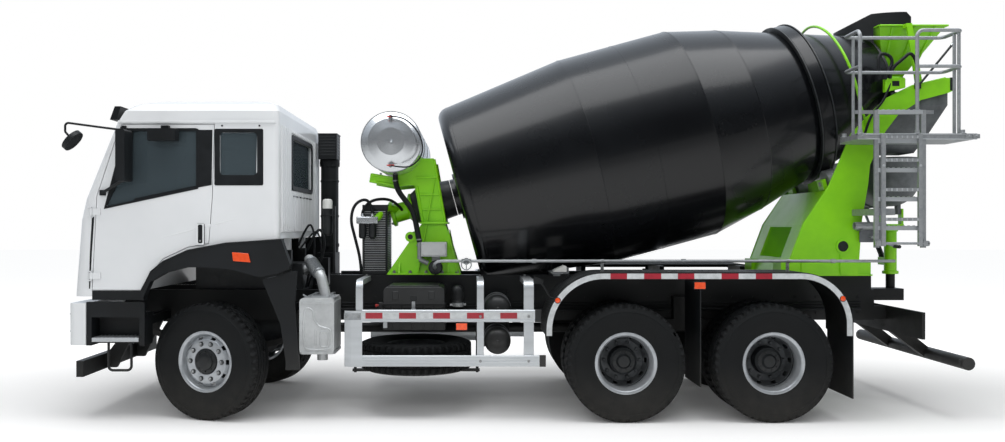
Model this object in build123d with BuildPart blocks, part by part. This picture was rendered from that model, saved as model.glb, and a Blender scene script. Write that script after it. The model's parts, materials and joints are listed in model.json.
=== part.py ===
from build123d import *
import math
import os

# Concrete mixer truck, three axles, every length in millimetres.
# X runs forward, Y to the left and Z up from the ground, under the middle of the truck's length.
# Places along the truck are given ahead of a mark close to the front wheels' centre.

os.makedirs("parts", exist_ok=True)

# ---------------------------------------------------------------- driving dimensions
drum_tilt = 15.25
drum_head = (-2289, 2113)  # where the axis meets the head, ahead of the mark and height
# Drum outline as (along the axis from the head, radius).
drum_profile = ((0, 905), (1336, 1085), (2456, 1085), (2964, 965), (4446, 505))
mouth_reach, mouth_radius = drum_profile[-1]
axis_x, axis_z = math.cos(math.radians(drum_tilt)), math.sin(math.radians(drum_tilt))
mouth_x = drum_head[0] - mouth_reach * axis_x
mouth_z = drum_head[1] + mouth_reach * axis_z
lip_overhang = 571.556  # drum's mouth to the hopper's lip, the rearmost point
hopper_lift = 25.346  # hopper's rim above the mouth's highest point

front_reach = 1335  # mark to the lamp guards, the foremost point
rear_reach = lip_overhang - mouth_x
mark_x = (rear_reach - front_reach) / 2
half_width = 1250  # body width without the mirrors, halved

wheelbase = 3800
bogie_spacing = 1350
front_axle_x = mark_x - 25
rear_axle_x = (front_axle_x - wheelbase, front_axle_x - wheelbase - bogie_spacing)
bogie_place = front_axle_x - wheelbase - bogie_spacing / 2 - mark_x

tyre_radius = 542.5
tyre_width = 293
rim_radius = 258
rim_width = 204
rim_wall = 18
flange_height = 27
flange_wall = 10
bolt_circle = 335
bolt_count = 10
axle_z = tyre_radius
running_gap = 0.1  # radial gap of a shaft in its bore
seat_gap = 0.3  # gap of a curved or resting face to its seat
move_gap = 6  # gap kept between moving pieces

kingpin_y = 860
kingpin_offset = 150  # kingpin to the middle of the front tyre
rest_steer = 18  # the front wheels stand turned this far to the right
dual_middle_y = 930
dual_spacing = 350
spindle_radius = 40
rear_spindle_radius = 50

rail_outer_y = 430
rail_flange = 85
rail_wall = 8
rail_top = 1161
rail_height = 300
rail_bottom = rail_top - rail_height
rail_front = 1100
rail_rear = -6410
subframe_top = 1311
subframe_width = 80
subframe_front = -1000

coupling_z = 945  # middle of the drawbar coupling's bolt pattern
coupling_spacing = (160, 100)  # across, upright
coupling_hole = 10.5
coupling_pad = (220, 150, 8)  # across, upright, thick
jaw_place = front_reach - 25
jaw_hole = 15
underrun_depth = 66
underrun_front = jaw_place - jaw_hole - 5  # leaves room for the towing pin
underrun_rear = underrun_front - underrun_depth
jaw_heights = (790, 870)

cab_side = 1150
cab_rear = -640
cab_wall = 45
skirt_wall = 18
floor_z = 1205
floor_wall = 40
roof_joint = 2753
cab_pivot = (1182, 990)  # ahead of the mark, height
cab_pin_radius = 20

drum_wall = 10
ring_place = 3613
ring_width = 110
ring_radius = 830
roller_radius = 125
roller_angle = 27
pedestal_y = (585, 615)
gear_plate = -240  # seat of the gearbox, along the drum's axis from its head

chute_pivot = -6800
chute_radius = 275
chute_centre_z = 2280
chute_rim_z = 2500
chute_hinge_z = 1945

# Rear mudguards, measured from the middle of the two rear axles.
guard_top = 1371
guard_wall = 10
trim_depth = 58
guard_front, guard_rear = bogie_place + 1409, bogie_place - 1382
guard_flat = (bogie_place + 885, bogie_place - 914)
guard_posts = (bogie_place + 860, bogie_place, bogie_place - 880)
guard_low = 799

# Row of boxes on the left rail, that shares the length between the side guard's front and the mudguard.
silencer_rear, silencer_front = -1148, -828
row_front = -1232
battery_length = 585
tank_length = 260
free_length = row_front - guard_front - battery_length - tank_length
battery_front = row_front - 0.343 * free_length
battery_rear = battery_front - battery_length
dryer_place = battery_rear - 0.113 * free_length
tank_front = battery_rear - 0.36 * free_length

bumper_front = front_reach - 45
bumper_rear = 1126
bumper_z = (704, 1090)
ear_y = (rail_outer_y - 30, rail_outer_y)
cab_ear_y = (rail_outer_y + move_gap, rail_outer_y + move_gap + 30)

drum_origin = (mark_x + drum_head[0], 0, drum_head[1])
drum_direction = (-axis_x, 0, axis_z)
drum_axis = Axis(drum_origin, drum_direction)
# In this plane x runs along the drum's axis to the rear and y away from it, upwards.
drum_section = Plane(origin=drum_origin, x_dir=drum_direction, z_dir=(0, 1, 0))


# ---------------------------------------------------------------- helpers
def at(place):
    """X of a place that lies so far ahead of the mark."""
    return mark_x + place


def along(points):
    """Outline points given as (ahead of the mark, height)."""
    return [(at(x), z) for x, z in points]


def box(x, y, z, mode=Mode.ADD):
    """Box between the two given values of X, Y and Z, X ahead of the mark."""
    with Locations((at(sum(x) / 2), sum(y) / 2, sum(z) / 2)):
        Box(abs(x[1] - x[0]), abs(y[1] - y[0]), abs(z[1] - z[0]), mode=mode)


def pair_of_boxes(x, y, z, mode=Mode.ADD):
    """The same box on the left and on the right."""
    box(x, y, z, mode)
    box(x, (-y[1], -y[0]), z, mode)


def side_plate(outline, y, mode=Mode.ADD):
    """Plate whose outline is seen from the side, from y[0] to y[1]."""
    plane = Plane(origin=(0, y[1], 0), x_dir=(1, 0, 0), z_dir=(0, -1, 0))
    with BuildSketch(plane) as profile:
        with BuildLine():
            Polyline(*along(outline), close=True)
        make_face()
    extrude(profile.sketch, amount=y[1] - y[0], mode=mode)


def rod(start, end, radius, mode=Mode.ADD):
    """Round bar between two points, X ahead of the mark."""
    first = Vector(at(start[0]), start[1], start[2])
    run = Vector(at(end[0]), end[1], end[2]) - first
    with BuildSketch(Plane(origin=first, z_dir=run)) as section:
        Circle(radius)
    extrude(section.sketch, amount=run.length, mode=mode)


def pipe(points, radius, bend):
    """Round bar through points with bends, X ahead of the mark."""
    places = [(at(x), y, z) for x, y, z in points]
    with BuildLine() as route:
        FilletPolyline(*places, radius=bend)
    with BuildSketch(Plane(origin=route.line @ 0, z_dir=route.line % 0)) as section:
        Circle(radius)
    sweep(section.sketch, path=route.line)


def turned(outline, section_plane, axis, mode=Mode.ADD):
    """Body of revolution of an outline of (along the axis, radius)."""
    with BuildSketch(section_plane) as profile:
        with BuildLine():
            Polyline(*outline, close=True)
        make_face()
    revolve(profile.sketch, axis=axis, mode=mode)


def drum_bar(reach, y, radial, mode=Mode.ADD):
    """Box square to the drum: along its axis, across the truck and away from the axis."""
    middle = drum_section.from_local_coords(Vector(sum(reach) / 2, sum(radial) / 2, 0))
    plane = Plane(origin=middle, x_dir=drum_direction, z_dir=(0, 1, 0))
    with BuildSketch(Plane(origin=plane.origin + Vector(0, y[0], 0), x_dir=drum_direction,
                           z_dir=(0, 1, 0))) as face:
        Rectangle(reach[1] - reach[0], radial[1] - radial[0])
    extrude(face.sketch, amount=y[1] - y[0], mode=mode)


def mirrored(piece):
    """The same piece for the truck's other side."""
    with BuildPart() as other:
        mirror(piece.part, about=Plane.XZ)
    return other


def save(piece, name):
    """Labels a finished piece and writes it."""
    piece.part.label = name
    export_step(piece.part, f"parts/{name}.step")


def cone_radius(reach):
    """Outer radius of the drum's rear cone, so far along its axis."""
    start, end = drum_profile[-2], drum_profile[-1]
    return start[1] + (end[1] - start[1]) * (reach - start[0]) / (end[0] - start[0])


# ---------------------------------------------------------------- chassis
with BuildPart() as chassis_frame:
    for side in (1, -1):
        outer = side * rail_outer_y
        inner = side * (rail_outer_y - rail_flange)
        web = side * (rail_outer_y - rail_wall)
        box((rail_rear, rail_front), (inner, outer), (rail_bottom, rail_top))
        box((rail_rear, rail_front), (inner, web), (rail_bottom + rail_wall, rail_top - rail_wall),
            Mode.SUBTRACT)
    web_y = rail_outer_y - rail_wall
    for place in (-900, -2100, -3300, -4475, -5600, -6350):
        box((place - 60, place + 60), (-web_y, web_y), (rail_top - 160, rail_top - rail_wall))
    # Front cross member with the towing jaw, and the ears of the cab's hinge.
    box((rail_front, rail_front + 26), (-rail_outer_y, rail_outer_y), (rail_bottom, rail_top - 61))
    pin_x, pin_z = cab_pivot
    ear = [(rail_front + 10, pin_z - 40), (rail_front + 10, pin_z + 70), (pin_x, pin_z + 40),
           (pin_x + 32, pin_z + 18),
           (pin_x + 32, pin_z - 18), (pin_x, pin_z - 42)]
    for side in (1, -1):
        near, far = sorted((side * ear_y[0], side * ear_y[1]))
        side_plate(ear, (near, far))
        rod((pin_x, near - 1, pin_z), (pin_x, far + 1, pin_z), cab_pin_radius + running_gap, Mode.SUBTRACT)
    # Seats for the rear of the cab.
    for side in (1, -1):
        near, far = sorted((side * 345, side * 430))
        box((-610, -530), (near, far), (rail_top, 1560))
    # Rear cross plate, with the post that carries the chute.
    box((rail_rear - 30, rail_rear), (-rail_outer_y, rail_outer_y), (rail_bottom, rail_top))
    pad_face = rail_rear - 30 - coupling_pad[2]
    box((pad_face, rail_rear - 30), (-coupling_pad[0] / 2, coupling_pad[0] / 2),
        (coupling_z - coupling_pad[1] / 2, coupling_z + coupling_pad[1] / 2))
    for y in (-coupling_spacing[0] / 2, coupling_spacing[0] / 2):
        for height in (coupling_z - coupling_spacing[1] / 2, coupling_z + coupling_spacing[1] / 2):
            rod((rail_rear + 1, y, height), (pad_face - 1, y, height), coupling_hole, Mode.SUBTRACT)
    box((chute_pivot - 90, rail_rear - 30), (-110, 110), (rail_top - 130, rail_top - 10))
    rod((chute_pivot, 0, rail_top - 130), (chute_pivot, 0, 1760), 45)
    # Spare wheel hangers.
    for place in (-1270, -2470):
        box((place - 25, place + 25), (rail_outer_y, 610), (rail_bottom + 20, rail_bottom + 70))
        rod((place, 560, 360), (place, 560, rail_bottom + 20), 14)
    box((-2495, -1245), (530, 590), (372, 394.5))
save(chassis_frame, "chassis_frame")

with BuildPart() as mixer_subframe:
    for side in (1, -1):
        near, far = sorted((side * (rail_outer_y - subframe_width), side * rail_outer_y))
        box((rail_rear, subframe_front), (near, far), (rail_top, subframe_top))
    inner_y = rail_outer_y - subframe_width
    for place in (-1450, -2250, -3300, -4500, -5600, -6300):
        box((place - 50, place + 50), (-inner_y, inner_y), (rail_top + 20, subframe_top))
save(mixer_subframe, "mixer_subframe")

with BuildPart() as engine_block:
    box((-700, 380), (-300, 300), (620, 1420))
    for place in (250, -450):
        pair_of_boxes((place - 60, place + 60), (300, web_y), (rail_bottom + rail_wall, 960))
save(engine_block, "engine_block")

with BuildPart() as front_bumper:
    with BuildSketch(Plane.XY.offset(bumper_z[0])) as plan:
        with Locations((at((bumper_front + bumper_rear) / 2), 0)):
            Rectangle(bumper_front - bumper_rear, 2 * 1180)
        fillet(plan.vertices().group_by(Axis.X)[-1], 70)
    extrude(plan.sketch, amount=bumper_z[1] - bumper_z[0])
    box((bumper_rear + 30, bumper_front - 30), (-1120, 1120), (bumper_z[0], bumper_z[1] - 30),
        Mode.SUBTRACT)
    # Pockets for the ears of the cab's hinge, and for their way when the cab tilts.
    pair_of_boxes((bumper_rear - 1, cab_pivot[0] + 54), (ear_y[0] - move_gap, cab_ear_y[1] + move_gap),
                  (cab_pivot[1] - 52, bumper_z[1] + 1), Mode.SUBTRACT)
    for side in (1, -1):
        for height in (820, 980):
            pipe([(bumper_front - 10, side * 760, height), (front_reach - 10, side * 760, height),
                  (front_reach - 10, side * 1060, height), (bumper_front - 10, side * 1060,
                                                            height)], 10, 30)
        for y in (830, 910, 990):
            rod((front_reach - 10, side * y, 780), (front_reach - 10, side * y, 1020), 7)
    # Towing jaw with its upright pin hole.
    for height in jaw_heights:
        box((bumper_front - 5, front_reach - 1), (-50, 50), (height, height + 20))
    rod((jaw_place, 0, jaw_heights[0] - 1), (jaw_place, 0, jaw_heights[1] + 21), jaw_hole, Mode.SUBTRACT)
save(front_bumper, "front_bumper")

with BuildPart() as front_steelwork:
    box((591, 1126), (1125, 1165), (960, 1100))
    box((591, 640), (1090, 1165), (700, 960))
    box((1079, 1126), (1090, 1165), (700, 960))
    box((640, 1079), (950, 980), (700, 1000))
    box((640, 1079), (950, 1165), (735, 765))
    box((591, 640), (950, 1090), (700, 1000))
    box((1079, 1126), (950, 1090), (700, 1000))
    box((591, 680), (rail_outer_y, 950), (880, 960))
    pipe([(720, 1140, 735), (720, 1140, 470), (930, 1140, 470), (930, 1140, 735)], 12, 40)
    # Underrun bar on its two arms.
    box((underrun_rear, underrun_front), (0, 1000), (384, 534))
    side_plate([(900, rail_bottom), (1080, rail_bottom), (1105, 695), (underrun_rear, 534),
                (underrun_rear, 384), (1140, 384)],
               (365, 415))
    mirror(about=Plane.XZ)
save(front_steelwork, "front_steelwork")

spring_y = (350, 425)
with BuildPart() as axles:
    # Front beam, dropped in the middle, with a bored boss for each kingpin.
    with BuildSketch(Plane(origin=(front_axle_x - 45, 0, 0), x_dir=(0, 1, 0), z_dir=(1, 0, 0))) as beam:
        with BuildLine():
            Polyline((-kingpin_y, 490), (-700, 490), (-520, 380), (520, 380), (700, 490), (kingpin_y, 490),
                     (kingpin_y, 595), (660, 595), (480, 480), (-480, 480), (-660, 595),
                     (-kingpin_y, 595), close=True)
        make_face()
    extrude(beam.sketch, amount=90)
    for side in (1, -1):
        rod((front_axle_x - mark_x, side * kingpin_y, 490), (front_axle_x - mark_x, side * kingpin_y, 595),
            48)
        rod((front_axle_x - mark_x, side * kingpin_y, 480), (front_axle_x - mark_x, side * kingpin_y, 605),
            22 + running_gap, Mode.SUBTRACT)
    # Rear axle housings with their differentials.
    for place in rear_axle_x:
        x = place - mark_x
        rod((x, -660, axle_z), (x, 660, axle_z), 75)
        for side in (1, -1):
            rod((x, side * 660, axle_z), (x, side * 1000, axle_z), rear_spindle_radius)
        rod((x, -150, axle_z), (x, 150, axle_z), 215)
        rod((x, 0, 740), (x + 300, 0, 740), 90)
        box((x - 100, x + 150), (-80, 80), (axle_z, 740))
    # Propeller shafts from the gearbox to the first and on to the second rear axle.
    first, second = rear_axle_x[0] - mark_x, rear_axle_x[1] - mark_x
    rod((first + 300, 0, 740), (-700, 0, 740), 50)
    rod((second + 300, 0, 740), (first - 100, 0, 740), 45)
save(axles, "axles")

with BuildPart() as leaf_springs:
    front_x = front_axle_x - mark_x
    bogie_x = (rear_axle_x[0] + rear_axle_x[1]) / 2 - mark_x
    # (middle, half length, height of the underside in the middle, rise to the ends, pack, near y, far y)
    for middle, half, low, rise, pack, near, far in (
        (front_x, 800, 560, 160, 60, 350, 425),
        (bogie_x, 700, 770, -60, 110, 445, 540),
    ):
        with BuildSketch(Plane(origin=(0, far, 0), x_dir=(1, 0, 0), z_dir=(0, -1, 0))) as leaf:
            with BuildLine():
                a, b = at(middle - half), at(middle + half)
                ThreePointArc((a, low + rise), (at(middle), low), (b, low + rise))
                Line((b, low + rise), (b, low + rise + pack))
                ThreePointArc((b, low + rise + pack), (at(middle), low + pack), (a, low + rise + pack))
                Line((a, low + rise + pack), (a, low + rise))
            make_face()
        extrude(leaf.sketch, amount=far - near)
    # Clamps on the front beam, hangers at the front spring's ends.
    box((front_x - 60, front_x + 60), (350, 425), (480, 570))
    for end in (-780, 780):
        box((front_x + end - 30, front_x + end + 30), (355, 420), (740, rail_bottom))
    # Trunnion bracket of the bogie, and pads that rest on the housings.
    box((bogie_x - 90, bogie_x + 90), (rail_outer_y, 540), (800, 1100))
    for place in rear_axle_x:
        x = place - mark_x
        box((x - 60, x + 60), (445, 540), (axle_z + 75, 740))
    mirror(about=Plane.XZ)
save(leaf_springs, "leaf_springs")

with BuildPart() as fuel_tank:
    with BuildSketch(Plane(origin=(at(-2500), 0, 0), x_dir=(0, 1, 0), z_dir=(1, 0, 0))) as section:
        with Locations((-820, 800)):
            RectangleRounded(500, 560, 90)
    extrude(section.sketch, amount=1200)
    for place in (-2300, -1900, -1500):
        box((place - 30, place + 30), (-575, -rail_outer_y), (880, 960))
save(fuel_tank, "fuel_tank")

with BuildPart() as silencer:
    with BuildSketch(Plane(origin=(0, 1150, 0), x_dir=(1, 0, 0), z_dir=(0, -1, 0))) as section:
        with Locations((at((silencer_rear + silencer_front) / 2), 878)):
            RectangleRounded(silencer_front - silencer_rear, 515, 40)
    extrude(section.sketch, amount=450)
    box((-1080, -980), (rail_outer_y, 700), (900, 1000))
    pipe([(-1040, 900, 1100), (-985, 880, 1320), (-840, 700, 1480), (-790, 180, 1350), (-700, 180, 1350)],
         50, 80)
    rod((-1010, 950, 540), (-1010, 950, 640), 50)
save(silencer, "silencer")

with BuildPart() as air_intake:
    box((-890, -680), (-1050, -780), (2560, 2850))
    rod((-790, -920, 1500), (-790, -920, 2560), 100)
    box((-890, -690), (-1020, -620), (1250, 1500))
    box((-850, -730), (-620, -rail_outer_y), (1000, 1450))
save(air_intake, "air_intake")

with BuildPart() as equipment_boxes:
    # Battery box, then the air dryer and two air tanks on one bracket.
    box((battery_rear, battery_front), (rail_outer_y, 1000), (820, 1235))
    tank_place = tank_front - tank_length / 2
    box((tank_front - tank_length, tank_front), (rail_outer_y, 470), (600, 1150))
    for height in (712, 1020):
        rod((tank_place, 470, height), (tank_place, 1000, height), 126)
    rod((dryer_place, 600, 1000), (dryer_place, 600, 1220), 60)
    box((dryer_place - 60, dryer_place + 60), (rail_outer_y, 600), (1000, 1080))
save(equipment_boxes, "equipment_boxes")

with BuildPart() as side_guards:
    box((-1406, -1238), (1110, 1150), (501, 1017))
    box((guard_front + 47, -1406), (1125, 1150), (915, 1026))
    box((guard_front + 5, -1406), (1125, 1150), (505, 606))
    post_place = -1406 - 0.66 * (-1406 - guard_front - 47)
    for low_x, high_x, bottom in (
        (-1409, -1345, 1017),
        (post_place - 32, post_place + 32, 606),
        (guard_front + 102, guard_front + 195, 606),
    ):
        box((low_x, high_x), (1095, 1125), (bottom - 80, 1302))
        box((low_x, high_x), (rail_outer_y, 1125), (1252, 1302))
    mirror(about=Plane.XZ)
save(side_guards, "side_guards")


# ---------------------------------------------------------------- wheels
# Tyre section as (across, radius), from the inner bead over the tread to the outer bead.
bead = rim_width / 2
half_tyre = tyre_width / 2
tyre_section = (
    (-bead, rim_radius), (-bead, rim_radius + flange_height), (-half_tyre + 10, 340), (-half_tyre, 420),
    (-half_tyre + 12, 505), (-half_tyre + 32, tyre_radius), (half_tyre - 32, tyre_radius),
    (half_tyre - 12, 505), (half_tyre, 420), (half_tyre - 10, 340), (bead, rim_radius + flange_height),
    (bead, rim_radius),
)


def wheel_plane(centre, outward):
    """Plane through the wheel's axle: x outward along it, y up."""
    return Plane(origin=centre, x_dir=outward, z_dir=Vector(*outward).cross(Vector(0, 0, 1)))


def tyre(centre, outward):
    turned(tyre_section, wheel_plane(centre, outward), Axis(centre, outward))


def rim_section(disc, hub_face):
    """Rim outline as (across, radius): flanges, barrel, and a disc that ends on the bolt face."""
    inner = rim_radius - rim_wall
    lip = bead + flange_wall
    return (
        (-lip, inner), (-lip, rim_radius + flange_height), (-bead, rim_radius + flange_height),
        (-bead, rim_radius), (bead, rim_radius), (bead, rim_radius + flange_height),
        (lip, rim_radius + flange_height), (lip, inner), (disc + 20, inner), (hub_face + 16, 200),
        (hub_face + 16, 110), (hub_face, 110), (hub_face, 205), (disc, inner),
    )


def bolt_heads(centre, outward, offset, height):
    """Ring of wheel nuts that stand on the bolt face."""
    face = Vector(*centre) + Vector(*outward) * offset
    with BuildSketch(Plane(origin=face, z_dir=outward)) as nuts:
        with PolarLocations(bolt_circle / 2, bolt_count):
            RegularPolygon(18, 6)
    extrude(nuts.sketch, amount=height)


steer = math.radians(rest_steer)
for side, word in ((1, "left"), (-1, "right")):
    outward = (side * math.sin(steer), side * math.cos(steer), 0)
    pin = Vector(front_axle_x, side * kingpin_y, axle_z)
    centre = pin + Vector(*outward) * kingpin_offset
    plane, axis = wheel_plane(centre, outward), Axis(centre, outward)

    with BuildPart() as front_tyre:
        tyre(centre, outward)
    save(front_tyre, f"tyre_front_{word}")

    with BuildPart() as front_rim:
        turned(rim_section(40, 70), plane, axis)
        # Hub with its cap and the brake drum.
        turned(((-20, spindle_radius + running_gap), (-20, 110), (-70, 110), (-70, 195), (-56, 195),
                (-56, 124), (70, 124),
                (100, 105), (120, 95), (120, 0), (86, 0), (86, spindle_radius + running_gap)), plane, axis)
        bolt_heads(centre, outward, 86, 28)
    save(front_rim, f"rim_front_{word}")

    with BuildPart() as knuckle:
        rod((pin.X - mark_x, pin.Y, 440), (pin.X - mark_x, pin.Y, 645), 22)
        for low, high in ((430, 484), (601, 655)):
            rod((pin.X - mark_x, pin.Y, low), (pin.X - mark_x, pin.Y, high), 45)
        # Web between the two ears, outside the beam's boss, then the spindle.
        with BuildSketch(plane) as web:
            with Locations((-kingpin_offset + 67, 0)):
                Rectangle(22, 225)
        extrude(web.sketch, amount=40, both=True)
        for low in (-112, 59):
            with BuildSketch(Plane(origin=centre, x_dir=outward,
                                   z_dir=Vector(*outward).cross(Vector(0, 0, 1)))) as ear:
                with Locations((-kingpin_offset + 33, low + 27)):
                    Rectangle(66, 54)
            extrude(ear.sketch, amount=30, both=True)
        turned(((-kingpin_offset + 56, 0), (-kingpin_offset + 56, 60), (-76, 60), (-76, spindle_radius),
                (80, spindle_radius), (80, 0)), plane, axis)
    save(knuckle, f"knuckle_{word}")

    for number, axle in enumerate(rear_axle_x, 1):
        hub = Vector(axle, side * dual_middle_y, axle_z)
        away = (0, side, 0)
        hub_plane, hub_axis = wheel_plane(hub, away), Axis(hub, away)
        with BuildPart() as rear_tyres:
            for shift in (-dual_spacing / 2, dual_spacing / 2):
                tyre(hub + Vector(0, side * shift, 0), away)
        save(rear_tyres, f"tyres_rear_{number}_{word}")

        with BuildPart() as rear_rims:
            half_dual = dual_spacing / 2
            outer_rim = hub + Vector(0, side * half_dual, 0)
            inner_rim = hub - Vector(0, side * half_dual, 0)
            turned(rim_section(-80, -half_dual), wheel_plane(outer_rim, away), hub_axis)
            back = (0, -side, 0)
            turned(rim_section(-80, -half_dual), wheel_plane(inner_rim, back), hub_axis)
            hub_outline = ((-250, rear_spindle_radius + running_gap), (-250, 205), (-236, 205), (-236, 130), (150, 130),
                           (150, 100), (170, 95), (170, 0), (80, 0), (80, rear_spindle_radius + running_gap))
            turned(hub_outline, hub_plane, hub_axis)
            bolt_heads(hub, away, 16, 30)
        save(rear_rims, f"rims_rear_{number}_{word}")

spare_centre = (at(-1870), 560, 541)
spare_plane = Plane(origin=spare_centre, x_dir=(0, 0, 1), z_dir=(0, 1, 0))
spare_axis = Axis(spare_centre, (0, 0, 1))
with BuildPart() as spare_wheel:
    turned(tyre_section, spare_plane, spare_axis)
    turned(rim_section(-80, -146), spare_plane, spare_axis)
save(spare_wheel, "spare_wheel")

# ---------------------------------------------------------------- mudguards
def guard_outline(inset):
    """Closed band of the rear mudguard's line, from the outside to so far inside it."""
    half = math.sqrt(0.5)
    with BuildLine() as line:
        for gap in (0, inset):
            top = guard_top - gap
            for end, flat, way in ((guard_front, guard_flat[0], 1), (guard_rear, guard_flat[1], -1)):
                bend = abs(end - flat) - gap
                edge = at(end) - way * gap
                middle = (at(flat), top - bend)
                Line((edge, guard_low), (edge, top - bend))
                ThreePointArc((edge, top - bend), (middle[0] + way * bend * half, middle[1] + bend * half),
                              (at(flat), top))
            Line((at(guard_flat[0]), top), (at(guard_flat[1]), top))
        for end, way in ((guard_front, 1), (guard_rear, -1)):
            Line((at(end), guard_low), (at(end) - way * inset, guard_low))
    return line.line


with BuildPart() as rear_mudguards:
    for band, near, far in ((guard_wall, 640, half_width), (trim_depth, half_width - 10, half_width)):
        with BuildSketch(Plane(origin=(0, far, 0), x_dir=(1, 0, 0), z_dir=(0, -1, 0))) as profile:
            add(make_face(guard_outline(band).edges(), mode=Mode.PRIVATE))
        extrude(profile.sketch, amount=far - near)
    for place in guard_posts:
        box((place - 25, place + 25), (rail_outer_y, 900), (subframe_top - 20, guard_top - guard_wall))
    mirror(about=Plane.XZ)
save(rear_mudguards, "rear_mudguards")

with BuildPart() as splash_guards:
    # Curved shield behind the front wheel, with its outer cheek and its bracket to the rail.
    with BuildSketch(Plane(origin=(0, 1150, 0), x_dir=(1, 0, 0), z_dir=(0, -1, 0))) as shield:
        with BuildLine():
            ThreePointArc((at(-486), 1305), (at(-640), 960), (at(-700), 474))
            Line((at(-700), 474), (at(-730), 474))
            ThreePointArc((at(-730), 474), (at(-668), 960), (at(-516), 1318))
            Line((at(-516), 1318), (at(-486), 1305))
        make_face()
    extrude(shield.sketch, amount=500)
    side_plate([(-486, 1305), (-640, 1338), (-755, 1385), (-810, 1380), (-790, 1100), (-835, 474),
                (-715, 474), (-655, 900)],
               (1135, 1160))
    box((-700, -655), (rail_outer_y, 650), (960, 1040))
    # Flaps between and behind the rear wheels.
    flap_x = (bogie_place - 5, bogie_place + 5)
    box(flap_x, (650, 1235), (330, guard_top - guard_wall - 70))
    box(flap_x, (910, 1235), (guard_top - guard_wall - 70, guard_top - guard_wall))
    box((guard_rear - 12, guard_rear), (650, 1235), (225, 1050))
    mirror(about=Plane.XZ)
save(splash_guards, "splash_guards")

with BuildPart() as rear_underrun:
    rod((-6990, -1150, 529), (-6990, 1150, 529), 60)
    box((-6590, -6560), (-1150, 1150), (753, 1003))
    for side in (1, -1):
        near, far = sorted((side * 345, side * 425))
        box((-6560, rail_rear - 30), (near, far), (870, 1000))
        side_plate([(-6590, 900), (-6590, 760), (-6960, 480), (-7020, 560)], (near, far))
save(rear_underrun, "rear_underrun")

# ---------------------------------------------------------------- drum
head_round = 110
drum_shaft = 80
with BuildPart() as drum_shell:
    with BuildSketch(drum_section) as half:
        with BuildLine():
            Polyline((0, 0), *drum_profile, (mouth_reach, 0), close=True)
        make_face()
        fillet(half.vertices().sort_by(Axis.X)[0:2].sort_by(Axis.Y)[-1], head_round)
        with BuildLine():
            inside = [(reach, radius - drum_wall) for reach, radius in drum_profile[1:]]
            head_radius = drum_profile[0][1]
            Polyline((drum_wall, 0), (drum_wall, head_radius - head_round),
                     (drum_wall + head_round, head_radius - drum_wall), *inside,
                     (mouth_reach + 1, mouth_radius - drum_wall), (mouth_reach + 1, 0), close=True)
        make_face(mode=Mode.SUBTRACT)
    revolve(half.sketch, axis=drum_axis)
    # Flange that bolts to the gearbox.
    turned(((-60, 0), (-60, 190), (-20, 190), (-20, 240), (0, 240), (0, 0)), drum_section, drum_axis)
    # Track ring.
    first, last = ring_place - ring_width / 2, ring_place + ring_width / 2
    turned(((first, cone_radius(first) - 1), (first, ring_radius), (last, ring_radius),
            (last, cone_radius(last) - 1)),
           drum_section, drum_axis)
save(drum_shell, "drum_shell")

roller_reach = ring_radius + roller_radius + seat_gap
roller_down = roller_reach * math.cos(math.radians(roller_angle))
roller_side = roller_reach * math.sin(math.radians(roller_angle))
roller_shaft = 24


def roller_centre(side):
    """Middle of the drum's roller on that side."""
    return drum_section.from_local_coords(Vector(ring_place, -roller_down, 0)) + Vector(0, side * roller_side, 0)


for side, word in ((1, "left"), (-1, "right")):
    centre = roller_centre(side)
    plane = Plane(origin=centre, x_dir=drum_direction, z_dir=(0, 1, 0))
    with BuildPart() as roller:
        turned(((-50, 0), (-50, roller_radius), (50, roller_radius), (50, 0)), plane,
               Axis(centre, drum_direction))
        turned(((-110, 0), (-110, roller_shaft), (110, roller_shaft), (110, 0)), plane,
               Axis(centre, drum_direction))
    save(roller, f"drum_roller_{word}")

with BuildPart() as drum_gearbox:
    turned(((gear_plate, 0), (gear_plate, 260), (gear_plate + 34, 260), (gear_plate + 60, 200), (-66, 190),
            (-66, 0)),
           drum_section, drum_axis)
    turned(((-500, 0), (-500, 150), (-430, 190), (gear_plate, 200), (gear_plate, 0)), drum_section,
           drum_axis)
    turned(((-720, 0), (-720, 85), (-500, 95), (-500, 0)), drum_section, drum_axis)
save(drum_gearbox, "drum_gearbox")

# ---------------------------------------------------------------- front pedestal and water
tank_centre = (-1655, 2595)
tank_radius = 286
with BuildPart() as front_pedestal:
    outline = [(-1560, subframe_top), (-2310, subframe_top), (-2151, 1819), (-2035, 2480), (-1860, 2480),
               (-1640, 2290),
               (-1400, 2330), (-1385, 2240), (-1640, 2190), (-1840, 2210), (-1912, 1819)]
    for side in (1, -1):
        near, far = sorted((side * 340, side * 370))
        side_plate(outline, (near, far))
    drum_bar((gear_plate - 30, gear_plate), (-340, 340), (-330, 340))
    turned(((gear_plate - 31, 0), (gear_plate - 31, 201), (gear_plate + 1, 201), (gear_plate + 1, 0)),
           drum_section, drum_axis, Mode.SUBTRACT)
    box((-2200, -1700), (-340, 340), (subframe_top, subframe_top + 30))
    box((-2120, -2000), (-340, 340), (1500, 1560))
    rod((tank_centre[0], -400, tank_centre[1]), (tank_centre[0], 400, tank_centre[1]),
        tank_radius + seat_gap, Mode.SUBTRACT)
save(front_pedestal, "front_pedestal")

with BuildPart() as water_tank:
    centre = (at(tank_centre[0]), 0, tank_centre[1])
    plane = Plane(origin=centre, x_dir=(0, 1, 0), z_dir=(1, 0, 0))
    turned(((-1000, 0), (-990, 130), (-965, 220), (-925, tank_radius), (925, tank_radius), (965, 220),
            (990, 130),
            (1000, 0)), plane, Axis(centre, (0, 1, 0)))
save(water_tank, "water_tank")

with BuildPart() as oil_cooler:
    box((-1560, -1320), (-200, 330), (subframe_top, 2010))
save(oil_cooler, "oil_cooler")

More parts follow.
